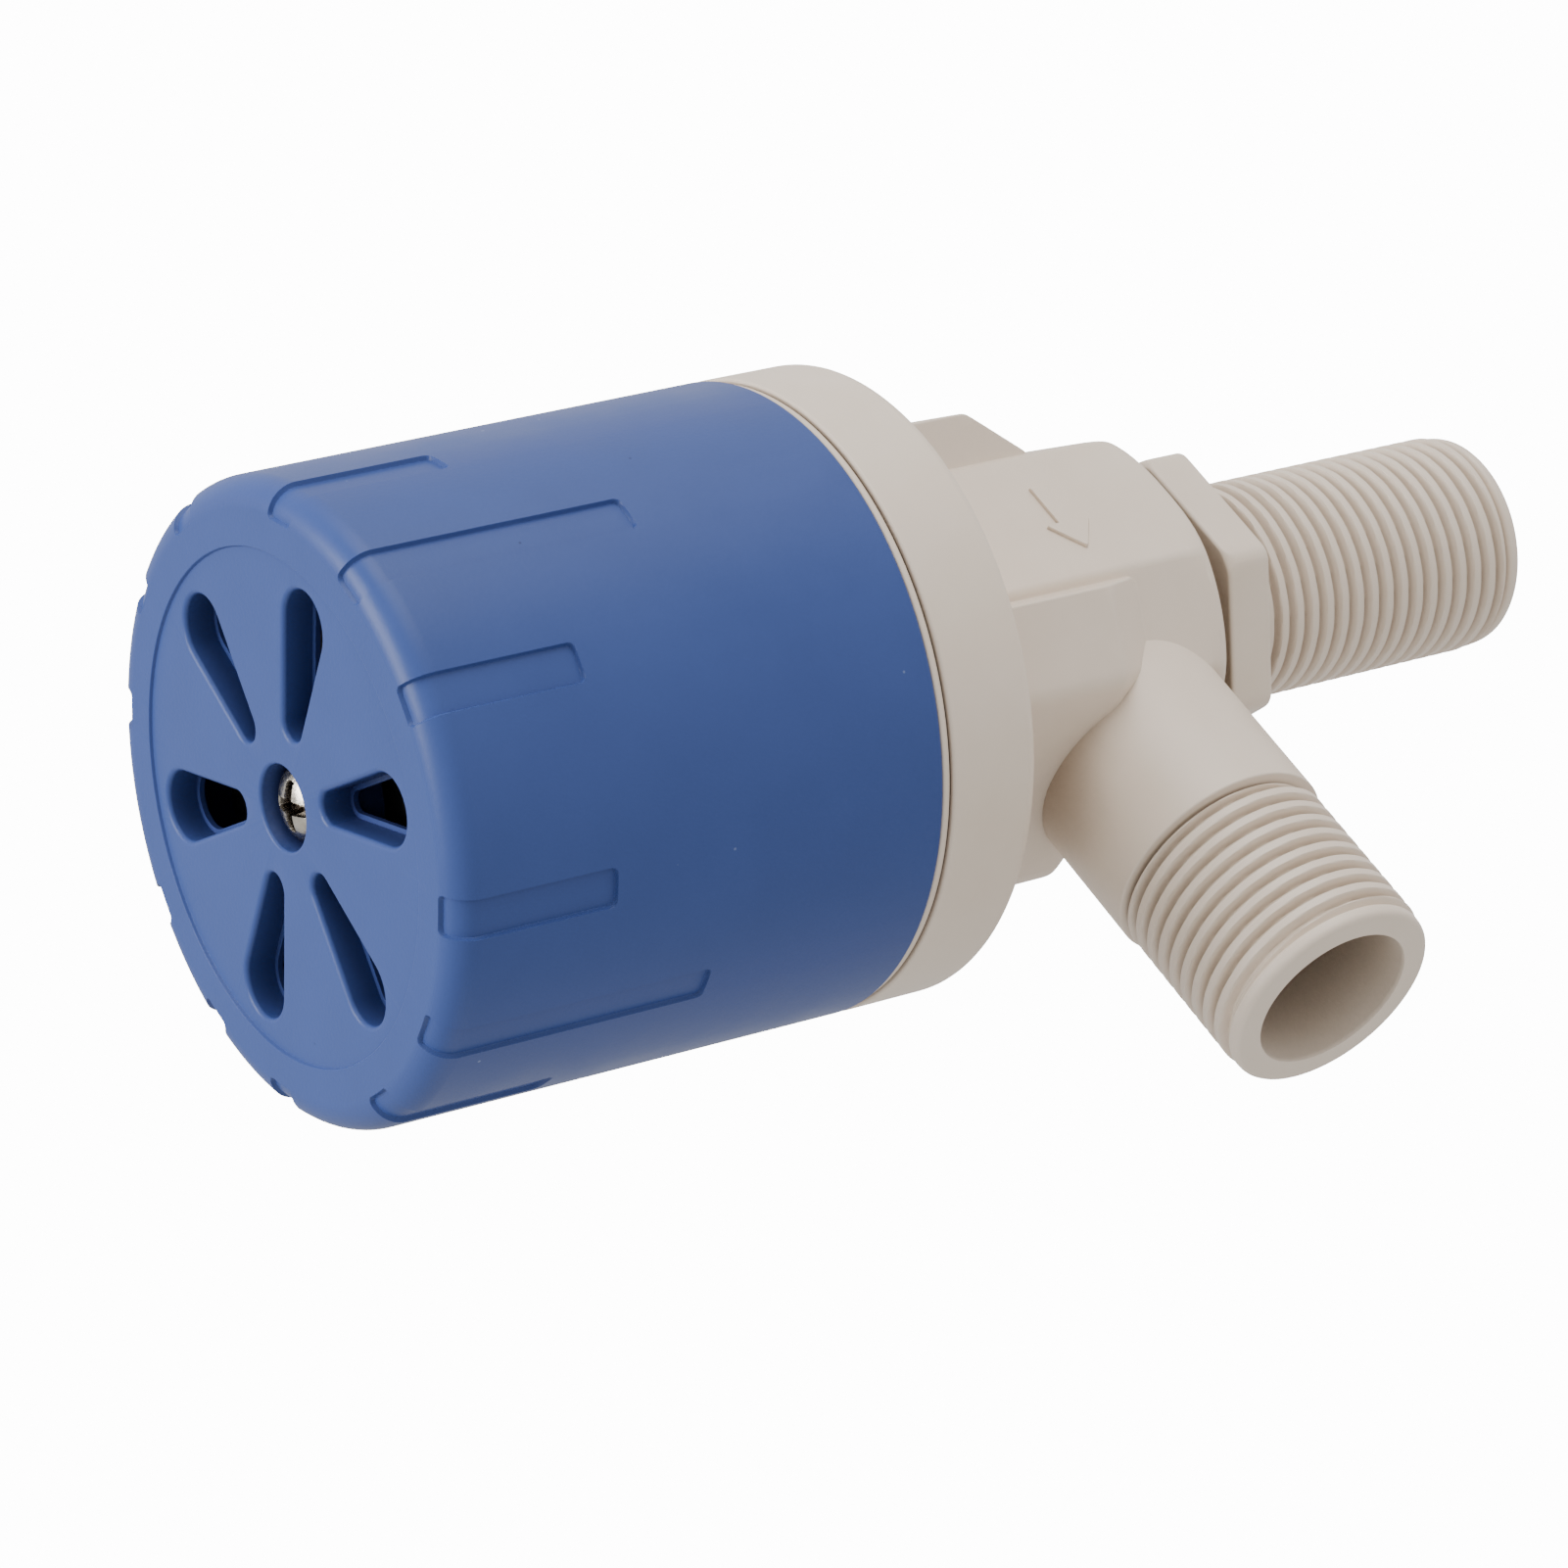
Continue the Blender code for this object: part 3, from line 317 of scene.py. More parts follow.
bore = rounded([(0, BORE_START), (BORE_RADIUS, BORE_START), (BORE_RADIUS, OUTLET_REACH),
                (BORE_MOUTH, bore_end), (0, bore_end)], [0, 0.3, 1.0, 0, 0], closed=False)
merged(valve_body, surface("bore", along_outlet(lathe(bore, 96), OUTLET_HEIGHT)), 'DIFFERENCE')
passage = np.array([(0, 9), (PASSAGE_RADIUS, 9), (PASSAGE_RADIUS, BORE_START + 1),
                    (0, BORE_START + 1)], float)
merged(valve_body, surface("passage", along_outlet(lathe(passage, 64), PASSAGE_HEIGHT)), 'DIFFERENCE')
smoothed(valve_body)


def linear(colour):
    """An sRGB hex colour as linear red, green, blue and full alpha."""
    value = np.array([int(colour[i:i + 2], 16) for i in (1, 3, 5)]) / 255
    return (*np.where(value <= 0.04045, value / 12.92, ((value + 0.055) / 1.055) ** 2.4), 1.0)


def node(tree, kind, inputs=None, **settings):
    """Add a node with its settings; an input is a number, a colour or the socket it is linked to."""
    made = tree.nodes.new(kind)
    for key, value in settings.items():
        setattr(made, key, value)
    for key, value in (inputs or {}).items():
        if isinstance(value, bpy.types.NodeSocket):
            tree.links.new(value, made.inputs[key])
        else:
            made.inputs[key].default_value = value
    return made


def new_material(name):
    """An empty node material and the socket its shader goes into."""
    made = bpy.data.materials.new(name)
    made.use_nodes = True
    made.node_tree.nodes.clear()
    tree = made.node_tree
    output = node(tree, 'ShaderNodeOutputMaterial')
    place = node(tree, 'ShaderNodeTexCoord').outputs['Object']
    return made, tree, output.inputs['Surface'], place


def painted_recess_shade(tree, colour, shade_colour, reach, deepest, open_enough):
    """Painted shade: the colour turning to a dark shade colour where nearby surfaces, within a reach
    in metres, leave only a small share of the surroundings open; the two shares are where it is
    all one or other."""
    openness = node(tree, 'ShaderNodeAmbientOcclusion', {'Distance': reach}, samples=16)
    open_share = node(tree, 'ShaderNodeMapRange', {'Value': openness.outputs['AO'], 'From Min': deepest,
                                              'From Max': open_enough})
    # painted shade: low ambient occlusion pulls the colour towards the shade colour
    both = node(tree, 'ShaderNodeMix', {0: open_share.outputs[0], 6: linear(shade_colour), 7: colour},
                data_type='RGBA')
    return both.outputs[2]


def moulded_nylon():
    """Glass-filled nylon, injection moulded against a finely spark-eroded tool: a warm grey-beige
    with a satin sheen, faint cloudy flow marks about 7 mm across, and a grain of short fibres.
    The real grain is near 0.05 mm; it is drawn at 0.3 mm so that it shows. Bores and deep gaps
    carry painted shade: the colour turns browner where nearby surfaces close them in."""
    made, tree, surface_in, place = new_material("moulded_glass_filled_nylon")
    clouds = node(tree, 'ShaderNodeTexNoise', {'Vector': place, 'Scale': 150.0, 'Detail': 3.0,
                                               'Roughness': 0.55})
    grain = node(tree, 'ShaderNodeTexNoise', {'Vector': place, 'Scale': 3200.0, 'Detail': 2.0})
    tint = node(tree, 'ShaderNodeMix', {0: clouds.outputs['Fac'], 6: linear("#DCCBB8"),
                                        7: linear("#E3D4C4")},
                data_type='RGBA')
    gloss = node(tree, 'ShaderNodeMapRange', {'Value': clouds.outputs['Fac'], 'From Min': 0.3,
                                              'From Max': 0.7, 'To Min': 0.40, 'To Max': 0.48})
    heights = node(tree, 'ShaderNodeMath', {0: grain.outputs['Fac'], 1: 0.35, 2: clouds.outputs['Fac']},
                   operation='MULTIPLY_ADD')
    bump = node(tree, 'ShaderNodeBump', {'Height': heights.outputs[0], 'Strength': 0.12,
                                         'Distance': 0.0002})
    # painted shade: bores and deep gaps turn brown where nearby surfaces close them in
    recess_shaded = painted_recess_shade(tree, tint.outputs[2], "#8C7A68", 0.02, 0.1, 0.5)
    shader = node(tree, 'ShaderNodeBsdfPrincipled', {
        'Base Color': recess_shaded, 'Roughness': gloss.outputs[0], 'IOR': 1.53,
        'Normal': bump.outputs[0]})
    tree.links.new(shader.outputs[0], surface_in)
    return made


nylon = moulded_nylon()
valve_body.data.materials.clear()
valve_body.data.materials.append(nylon)
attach(valve_body, "root")
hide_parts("valve_body")

# ------------------------------------------------------------------------------- inlet fitting
# The inlet is moulded in the same nylon: a hexagon to hold it by, a G 1/2 pipe thread above, a
# stub that screws down into the body onto an O-ring, and the seat nozzle inside.

HEX_BOTTOM, HEX_TOP, HEX_CORNER, INLET_END = 94.4, 99.2, 14.78, 132.0


def fitting_grid():
    """A ring-shaped grid: rows run up the outside and down the bore. On the hexagon's rows the
    radius is the flat's distance over the cosine of the angle from the flat's middle, held below
    a rounded corner. Columns crowd towards the corners."""
    around = 192
    even = np.arange(around) * math.tau / around
    angles = even - 0.78 / 6 * np.sin(6 * (even - math.pi / 6))
    flat = HEX_CORNER * math.cos(math.pi / 6)
    from_flat = (angles + math.pi / 6) % (math.pi / 3) - math.pi / 6
    hexagon = flat / np.cos(from_flat)
    cap = HEX_CORNER - 0.28
    soft = 0.16
    hexagon = (hexagon + cap - np.sqrt((hexagon - cap) ** 2 + soft ** 2)) / 2

    lower = rounded([(6.2, 76.0), (7.2, 76.0), (8.3, 77.2), (8.3, 83.8), (11.3, 83.8),
                     (11.3, HEX_BOTTOM)], 0.15, closed=False)
    bend = np.linspace(0, math.pi / 2, 6)
    edge = 0.45
    side_height = np.concatenate([[HEX_BOTTOM], HEX_BOTTOM + edge * (1 - np.cos(bend)),
                                  HEX_BOTTOM + np.array([0.7, 1.0, 1.4, 2.0, 2.8]),
                                  HEX_TOP - edge * (1 - np.sin(bend)), [HEX_TOP]])
    side_inset = np.concatenate([[1.2], edge * (1 - np.sin(bend)), np.zeros(5),
                                 edge * (1 - np.cos(bend)), [1.2]])
    thread_end = INLET_END - 1.5
    radius, along = thread_rows(HEX_TOP + 0.05, thread_end, angles)
    upper = rounded([(9.72, thread_end), (10.3, thread_end + 0.25), (10.1, INLET_END),
                     (7.0, INLET_END), (7.0, 128.2), (6.2, 128.2), (6.2, 100)],
                    [0, 0.4, 0.9, 0.3, 0.1, 0.1, 0], closed=False)

    lower_radius, upper_radius = lower[:, :1] + 0 * angles, upper[:, :1] + 0 * angles
    dome = (flat + 0.95 + 0.85 * np.sqrt(side_height - HEX_BOTTOM))[:, None]
    hexagon_rows = hexagon - side_inset[:, None]
    hexagon_rows = (hexagon_rows + dome - np.sqrt((hexagon_rows - dome) ** 2 + 0.1 ** 2)) / 2
    radii = np.concatenate([lower_radius, hexagon_rows, radius, upper_radius])
    heights = np.concatenate([lower[:, 1], side_height, along, upper[:, 1]])[:, None]
    return np.stack(np.broadcast_arrays(radii * np.cos(angles), radii * np.sin(angles), heights), -1)


inlet_fitting = smoothed(surface("inlet_fitting_moulding", fitting_grid(), ring=True))
inlet_fitting.data.materials.append(nylon)
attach(inlet_fitting, "root")
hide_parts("inlet_fitting")

# --------------------------------------------------------------------------------- pilot cover
# A nylon disc screwed up under the flange ring from inside. Its rim shows as a thin pale lip
# between ring and shell; a post for the shell's screw, the pilot nozzle and two ears hang below.

COVER_TOP, COVER_CEILING = 55.8, 53.3
LEVER_X, PIVOT_Y, PIVOT_HEIGHT, PILOT_ARM = 6.5, 13.5, 45.5, 7.0


def slab_grid(corners, radius, start, end, edge):
    """A flat-sided bar along X: a rounded outline in Y and Z, drawn in by an edge at both ends."""
    corners = np.array(corners, float)
    centre = corners.mean(0)
    inset = np.array([1, 0, 0, 1])[:, None, None] * edge * np.sign(corners - centre)
    outlines = rounded(corners - inset, radius)
    level = np.broadcast_to(np.array([start, start + edge, end - edge, end])[:, None],
                            outlines.shape[:-1])
    return np.stack([level, outlines[..., 0], outlines[..., 1]], -1)


cover_outline = [(0, 22), (1.6, 22), (1.6, 7.5), (3.4, 7.5), (3.4, 50), (6, COVER_CEILING),
                 (24.6, COVER_CEILING), (25, 46.5), (26.75, 46.5), (26.75, 49.75), (28.9, 49.75),
                 (28.9, 50.55), (25.7, 50.55), (25.7, COVER_TOP), (0, COVER_TOP)]
pilot_cover = surface("pilot_cover_moulding", lathe(
    rounded(cover_outline, [0, 0.1, 0.2, 0.3, 2, 1, 0.6, 0.3, 0.3, 0.15, 0.25, 0.25, 0.15, 0.3, 0],
            closed=False), 192))
nozzle = lathe(rounded([(0, 47.6), (1.1, 47.6), (2.0, 49.0), (2.0, 54), (0, 54)], 0.25,
                       closed=False), 48)
nozzle_at = np.array([LEVER_X, PIVOT_Y - PILOT_ARM, 0])
merged(pilot_cover, surface("pilot_nozzle", nozzle + nozzle_at), 'UNION')
ear = [(PIVOT_Y - 2.2, PIVOT_HEIGHT - 2.2), (PIVOT_Y + 2.2, PIVOT_HEIGHT - 2.2),
       (PIVOT_Y + 2.2, 54.3), (PIVOT_Y - 2.2, 54.3)]
for start in (LEVER_X - 3.15, LEVER_X + 1.65):
    merged(pilot_cover, surface("ear", slab_grid(ear, 0.9, start, start + 1.5, 0.2)), 'UNION')
for screw_place in screw_places:
    hole = lathe(np.array([(0, 52), (SCREW_HOLE, 52), (SCREW_HOLE, 57), (0, 57)]), 32)
    merged(pilot_cover, surface("screw_hole", hole + screw_place), 'DIFFERENCE')
jet = lathe(np.array([(0, 46), (0.6, 46), (0.6, 57), (0, 57)]), 24)
merged(pilot_cover, surface("jet", jet + nozzle_at), 'DIFFERENCE')
pin_turn = np.arange(32) * math.tau / 32
pin_hole = np.stack(np.broadcast_arrays(np.array([[LEVER_X - 4], [LEVER_X + 4]]),
                                        PIVOT_Y + 1.1 * np.cos(pin_turn),
                                        PIVOT_HEIGHT + 1.1 * np.sin(pin_turn)), -1)
merged(pilot_cover, surface("pin_hole", pin_hole), 'DIFFERENCE')
smoothed(pilot_cover)
pilot_cover.data.materials.clear()
pilot_cover.data.materials.append(nylon)
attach(pilot_cover, "root")
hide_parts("pilot_cover")

# --------------------------------------------------------------------------------- float shell
# The cup round the float is moulded in blue polypropylene. Its floor is let in and has six
# wedge slots for the water and a well for one screw; twelve shallow grip panels run up its side
# in four sets of three. It is screwed on a few degrees past the outlet's line.

shell_low, shell_high = (np.array(corner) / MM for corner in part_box("float_shell"))
SHELL_TOP = shell_high[2] - shell_low[2]
SHELL_TOP_RADIUS, SHELL_FOOT_RADIUS, SHELL_CORNER, SHELL_WALL = 29.25, 28.96, 5.4, 2.15
SHELL_TURN = math.radians(3)
FLOOR_RECESS, FLOOR_RECESS_RADIUS, FLOOR_THICKNESS = 0.3, 22.95, 3.5
WELL_RADIUS, WELL_DEPTH = 3.87, 3.6
GRIP_HALF, GRIP_DEPTH, GRIP_CORNER, GRIP_WALL = 1.85, 0.42, 0.7, 0.14
GRIP_START_RADIUS, GRIP_LONG_END, GRIP_SHORT_END = 24.4, 27.2, 16.0
GRIP_STEP = math.radians(25.6)


def shell_grid():
    """A turned cup whose wall is pushed in by the grip panels. A panel is a rounded rectangle in
    the arc length up the wall and the distance round it, so its sides stay parallel where the
    corner curves in; its depth falls off over the width of its steep edge."""
    floor_top = FLOOR_RECESS + FLOOR_THICKNESS
    corners = [(WELL_RADIUS, FLOOR_RECESS), (FLOOR_RECESS_RADIUS, FLOOR_RECESS),
               (FLOOR_RECESS_RADIUS + 0.12, 0), (SHELL_FOOT_RADIUS, 0),
               (SHELL_TOP_RADIUS, SHELL_TOP), (SHELL_TOP_RADIUS - SHELL_WALL, SHELL_TOP),
               (SHELL_FOOT_RADIUS - SHELL_WALL, floor_top), (6.0, floor_top), (6.0, 7.2),
               (2.1, 7.2), (2.1, WELL_DEPTH), (WELL_RADIUS, WELL_DEPTH)]
    radii = [0.35, 0.06, 0.1, SHELL_CORNER, 0.35, 0.2, 3.0, 0.5, 0.3, 0.2, 0.1, 0.2]
    outline = rounded(corners, radii, steps=14)
    outline = split_long(np.vstack([outline, outline[:1]]), 4.0)[:-1]
    steps = np.linalg.norm(np.diff(np.vstack([outline, outline[:1]]), axis=0), axis=1)
    length = np.concatenate([[0], np.cumsum(steps)])
    total, length = length[-1], length[:-1]

    outer = (outline[:, 1] < SHELL_TOP - 1) & (outline[:, 0] > FLOOR_RECESS_RADIUS + 0.3)
    outer &= length < total / 2
    start = np.interp(GRIP_START_RADIUS, outline[outer, 0], length[outer])
    ends = np.interp([GRIP_SHORT_END, GRIP_LONG_END], outline[outer, 1], length[outer])
    fine = np.array([-0.5, -0.2, -0.08, 0, 0.05, 0.1, 0.16, 0.24, 0.34, 0.46, 0.6, 0.8, 1.1])
    rows = np.unique(np.concatenate([length, start + fine, ends[0] - fine, ends[1] - fine]))
    closed = np.vstack([outline, outline[:1]])
    knots = np.append(length, total)
    radius = np.interp(rows, knots, closed[:, 0])
    height = np.interp(rows, knots, closed[:, 1])
    step_before = np.stack([radius - np.roll(radius, 1), height - np.roll(height, 1)], -1)
    step_after = np.roll(step_before, -1, axis=0)
    direction = step_before / np.linalg.norm(step_before, axis=1, keepdims=True)
    direction = direction + step_after / np.linalg.norm(step_after, axis=1, keepdims=True)
    direction /= np.linalg.norm(direction, axis=1, keepdims=True)
    normal = np.stack([direction[:, 1], -direction[:, 0]], -1)

    quarter = np.arange(4)[:, None] * math.pi / 2
    middles = (quarter + np.array([-1, 0, 1]) * GRIP_STEP).ravel()
    panel_ends = np.tile([ends[0], ends[1], ends[0]], 4)
    half_columns = GRIP_HALF - np.array([-0.6, -0.2, -0.08, 0, 0.05, 0.1, 0.16, 0.24, 0.36, 0.6, 1.1])
    across = np.concatenate([-half_columns, [0.0], half_columns[::-1]])
    reference = np.maximum(radius, 24.0)[:, None]
    columns, distances, tops = [], [], []
    for index, middle in enumerate(middles):
        following = middles[(index + 1) % 12] + (math.tau if index == 11 else 0)
        columns.append(middle + across / reference)
        distances.append(np.broadcast_to(across, columns[-1].shape))
        gap_start = middle + across[-1] / reference
        gap_end = following + across[0] / reference
        count = round((following - middle) / math.radians(2)) - 4
        share = np.arange(1, count) / count
        columns.append(gap_start + (gap_end - gap_start) * share)
        distances.append(np.full(columns[-1].shape, 9.0))
        tops.append(np.full(len(across) + count - 1, panel_ends[index]))
    angles = np.concatenate(columns, axis=1)
    distance = np.concatenate(distances, axis=1)
    top = np.concatenate(tops)

    along = np.abs(rows[:, None] - (start + top) / 2) - ((top - start) / 2 - GRIP_CORNER)
    beside = np.abs(distance) - (GRIP_HALF - GRIP_CORNER)
    outside = np.hypot(np.maximum(along, 0), np.maximum(beside, 0))
    gap = outside + np.minimum(np.maximum(along, beside), 0) - GRIP_CORNER
    sunk = np.clip(-gap / GRIP_WALL, 0, 1)
    depth = GRIP_DEPTH * (sunk * sunk * (3 - 2 * sunk))
    radius = radius[:, None] - depth * normal[:, :1]
    height = height[:, None] - depth * normal[:, 1:]
    angles = angles + SHELL_TURN
    return np.stack([radius * np.cos(angles), radius * np.sin(angles), height], -1)


SLOT_INNER, SLOT_OUTER, SLOT_INNER_HALF, SLOT_OUTER_HALF = 6.9, 21.4, 1.5, 3.2
SLOT_LEDGE, SLOT_LIP = 0.5, 0.5


def slot_grid(angle):
    """The cutter for one slot: a wedge with round ends, carried up through the floor. It flares at
    the mouth in a quarter round, narrows a little by draft, and steps in to a thin ledge."""
    bend = np.linspace(0, math.pi / 2, 7)
    ledge_at = FLOOR_RECESS + 2.95
    height = np.concatenate([[-1.0], FLOOR_RECESS + SLOT_LIP * (1 - np.cos(bend)) - 0.004,
                             [ledge_at, ledge_at + 0.05, 6.0]])
    grow = np.concatenate([[SLOT_LIP], SLOT_LIP * (1 - np.sin(bend)),
                           [-0.06, -SLOT_LEDGE, -SLOT_LEDGE]])
    inner_centre, outer_centre = SLOT_INNER + SLOT_INNER_HALF, SLOT_OUTER - SLOT_OUTER_HALF
    lean = math.asin((SLOT_OUTER_HALF - SLOT_INNER_HALF) / (outer_centre - inner_centre))
    outer_turn = np.linspace(-(math.pi / 2 + lean), math.pi / 2 + lean, 25)
    inner_turn = np.linspace(math.pi / 2 + lean, 3 * math.pi / 2 - lean, 17)
    outer_radius, inner_radius = SLOT_OUTER_HALF + grow[:, None], SLOT_INNER_HALF + grow[:, None]
    x = np.concatenate([outer_centre + outer_radius * np.cos(outer_turn),
                        inner_centre + inner_radius * np.cos(inner_turn)], axis=1)
    y = np.concatenate([outer_radius * np.sin(outer_turn), inner_radius * np.sin(inner_turn)], axis=1)
    levels = np.broadcast_to(height[:, None], x.shape)
    return np.stack([x * math.cos(angle) - y * math.sin(angle),
                     x * math.sin(angle) + y * math.cos(angle), levels], -1)


float_shell = surface("float_shell_moulding", shell_grid(), ring=True)
for number in range(6):
    angle = math.radians(45 + 60 * number) + SHELL_TURN
    merged(float_shell, surface("slot", slot_grid(angle)), 'DIFFERENCE')
smoothed(float_shell)


def blue_polypropylene():
    """Polypropylene coloured in the mass, moulded in a satin tool: a deep blue with a soft broad
    sheen, very faint flow clouding, and pinpoint specks of undispersed pigment and dust, drawn
    at 0.25 mm so that they show. Slots and their corners carry painted shade: the colour turns
    navy where nearby surfaces close them in."""
    made, tree, surface_in, place = new_material("blue_moulded_polypropylene")
    clouds = node(tree, 'ShaderNodeTexNoise', {'Vector': place, 'Scale': 120.0, 'Detail': 4.0})
    grain = node(tree, 'ShaderNodeTexNoise', {'Vector': place, 'Scale': 2600.0, 'Detail': 2.0})
    tint = node(tree, 'ShaderNodeMix', {0: clouds.outputs['Fac'], 6: linear("#364982"),
                                        7: linear("#3B4F8B")},
                data_type='RGBA')
    cells = node(tree, 'ShaderNodeTexVoronoi', {'Vector': place, 'Scale': 420.0})
    speck = node(tree, 'ShaderNodeMapRange', {'Value': cells.outputs['Distance'], 'From Min': 0.05,
                                              'From Max': 0.09, 'To Min': 0.55, 'To Max': 0.0})
    chosen = node(tree, 'ShaderNodeSeparateColor', {0: cells.outputs['Color']})
    rare = node(tree, 'ShaderNodeMath', {0: chosen.outputs[0], 1: 0.95}, operation='GREATER_THAN')
    amount = node(tree, 'ShaderNodeMath', {0: speck.outputs[0], 1: rare.outputs[0]},
                  operation='MULTIPLY')
    pale = node(tree, 'ShaderNodeMath', {0: chosen.outputs[1], 1: 0.75}, operation='GREATER_THAN')
    speck_tint = node(tree, 'ShaderNodeMix', {0: pale.outputs[0], 6: linear("#141F3C"),
                                              7: linear("#8E9CC0")},
                      data_type='RGBA')
    coloured = node(tree, 'ShaderNodeMix', {0: amount.outputs[0], 6: tint.outputs[2],
                                            7: speck_tint.outputs[2]}, data_type='RGBA')
    gloss = node(tree, 'ShaderNodeMapRange', {'Value': clouds.outputs['Fac'], 'From Min': 0.3,
                                              'From Max': 0.7, 'To Min': 0.34, 'To Max': 0.42})
    bump = node(tree, 'ShaderNodeBump', {'Height': grain.outputs['Fac'], 'Strength': 0.1,
                                         'Distance': 0.0001})
    # painted shade: slots and their corners turn navy where nearby surfaces close them in
    recess_shaded = painted_recess_shade(tree, coloured.outputs[2], "#252B57", 0.02, 0.1, 0.6)
    shader = node(tree, 'ShaderNodeBsdfPrincipled', {
        'Base Color': recess_shaded, 'Roughness': gloss.outputs[0], 'IOR': 1.49,
        'Specular IOR Level': 0.24, 'Normal': bump.outputs[0]})
    tree.links.new(shader.outputs[0], surface_in)
    return made


float_shell.data.materials.clear()
float_shell.data.materials.append(blue_polypropylene())
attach(float_shell, "root")
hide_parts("float_shell")

# --------------------------------------------------------------------------------- shell screw
# One stainless self-tapping screw with a pan head and a cross recess holds the shell to the
# cover's post. Its cold-formed head is left as pickled, so it is bright but not polished.

SCREW_HEAD_RADIUS, SCREW_FACE, SCREW_SEAT = 3.5, 0.8, 3.3
RECESS_ARM, RECESS_HALF, RECESS_DEPTH = 2.3, 0.5, 2.0


def screw_grid():
    """Head face as a height over radius and angle, pressed in by a cross whose arms get shallower
    outwards; then the head's side, the shank with its thread ridges, and the tip."""
    around = 160
    angles = np.arange(around) * math.tau / around
    radius = np.linspace(0.04, SCREW_HEAD_RADIUS - 0.6, 56)[:, None]
    x, y = np.abs(radius * np.cos(angles - 0.5)), np.abs(radius * np.sin(angles - 0.5))
    long_way, short_way = np.maximum(x, y), np.minimum(x, y)
    half = RECESS_HALF + 0.16 * (1 - long_way / RECESS_ARM)
    side = np.clip((half - short_way) / 0.12, 0, 1)
    end = np.clip((RECESS_ARM - long_way) / 0.35, 0, 1)
    pressed = RECESS_DEPTH * (1 - 0.45 * long_way / RECESS_ARM) * side * end
    dome = SCREW_FACE + 1.3 * (radius / SCREW_HEAD_RADIUS) ** 2.4
    face_height = dome + pressed
    face = np.stack(np.broadcast_arrays(-radius * np.cos(angles), radius * np.sin(angles),
                                        face_height), -1)
    rim_height = float(dome[-1, 0])
    rim = rounded([(SCREW_HEAD_RADIUS - 0.59, rim_height), (SCREW_HEAD_RADIUS, rim_height + 0.5),
                   (SCREW_HEAD_RADIUS, SCREW_SEAT), (1.3, SCREW_SEAT), (1.3, SCREW_SEAT + 0.8)],
                  [0, 0.55, 0.15, 0.1, 0], steps=6, closed=False)
    along = np.linspace(SCREW_SEAT + 0.9, SCREW_SEAT + 14.5, 150)
    turns = along[:, None] / 1.3 + angles / math.tau
    ridge = np.clip(1 - np.abs(turns % 1 - 0.5) / 0.22, 0, 1)
    shank_radius = 1.02 + 0.28 * ridge
    shank = np.stack(np.broadcast_arrays(-shank_radius * np.cos(angles), shank_radius * np.sin(angles),
                                         along[:, None]), -1)
    rim_points = lathe(rim, around) * np.array([-1, 1, 1])
    tip = lathe(np.array([(0.8, SCREW_SEAT + 15.2), (0.1, SCREW_SEAT + 16.0)]), around)
    return np.concatenate([face, rim_points, shank, tip * np.array([-1, 1, 1])])[:, ::-1]


shell_screw = smoothed(surface("shell_screw_turned", screw_grid()), sharp=50)


def pickled_steel():
    """Austenitic stainless steel as pickled after cold forming: a warm silver, evenly fine and
    matt, with shallow forming marks about 0.4 mm apart. The cross recess carries painted shade:
    the colour turns dark brown where its walls close it in."""
    made, tree, surface_in, place = new_material("pickled_stainless_steel")
    marks = node(tree, 'ShaderNodeTexNoise', {'Vector': place, 'Scale': 1500.0, 'Detail': 5.0,
                                              'Roughness': 0.65})
    tint = node(tree, 'ShaderNodeMix', {0: marks.outputs['Fac'], 6: linear("#A79F92"),
                                        7: linear("#DAD5CA")},
                data_type='RGBA')
    gloss = node(tree, 'ShaderNodeMapRange', {'Value': marks.outputs['Fac'], 'From Min': 0.3,
                                              'From Max': 0.7, 'To Min': 0.16, 'To Max': 0.32})
    bump = node(tree, 'ShaderNodeBump', {'Height': marks.outputs['Fac'], 'Strength': 0.5,
                                         'Distance': 0.0001})
    # painted shade: the cross recess turns dark brown where its walls close it in
    recess_shaded_steel = painted_recess_shade(tree, tint.outputs[2], "#3B2C1E", 0.002, 0.3, 0.8)
    shader = node(tree, 'ShaderNodeBsdfPrincipled', {
        'Base Color': recess_shaded_steel, 'Metallic': 1.0, 'Roughness': gloss.outputs[0],
        'Normal': bump.outputs[0]})
    tree.links.new(shader.outputs[0], surface_in)
    return made


steel = pickled_steel()
shell_screw.data.materials.append(steel)
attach(shell_screw, "root")
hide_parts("shell_screw")

# ------------------------------------------------------------------------------ inlet strainer
# A thimble of natural acetal dropped into the inlet's mouth to keep grit out. It hangs by its
# lip on a step in the bore and lets the water through six tall windows.

strainer_outline = [(0, 118), (5.4, 118), (5.4, 128.5), (6.7, 128.5), (6.7, 130), (4.4, 130),
                    (4.4, 119), (0, 119)]
inlet_strainer = surface("inlet_strainer_moulding", lathe(
    rounded(strainer_outline, [0, 0.6, 0.1, 0.2, 0.3, 0.3, 0.4, 0], closed=False), 96))
window = slab_grid([(-1, 120), (1, 120), (1, 127), (-1, 127)], 0.6, 3.4, 6.4, 0.05)
for angle in np.radians(7.5 + 60 * np.arange(6)):
    turn = np.array([[math.cos(angle), math.sin(angle), 0],
                     [-math.sin(angle), math.cos(angle), 0], [0, 0, 1]])
    merged(inlet_strainer, surface("window", window @ turn), 'DIFFERENCE')
smoothed(inlet_strainer)


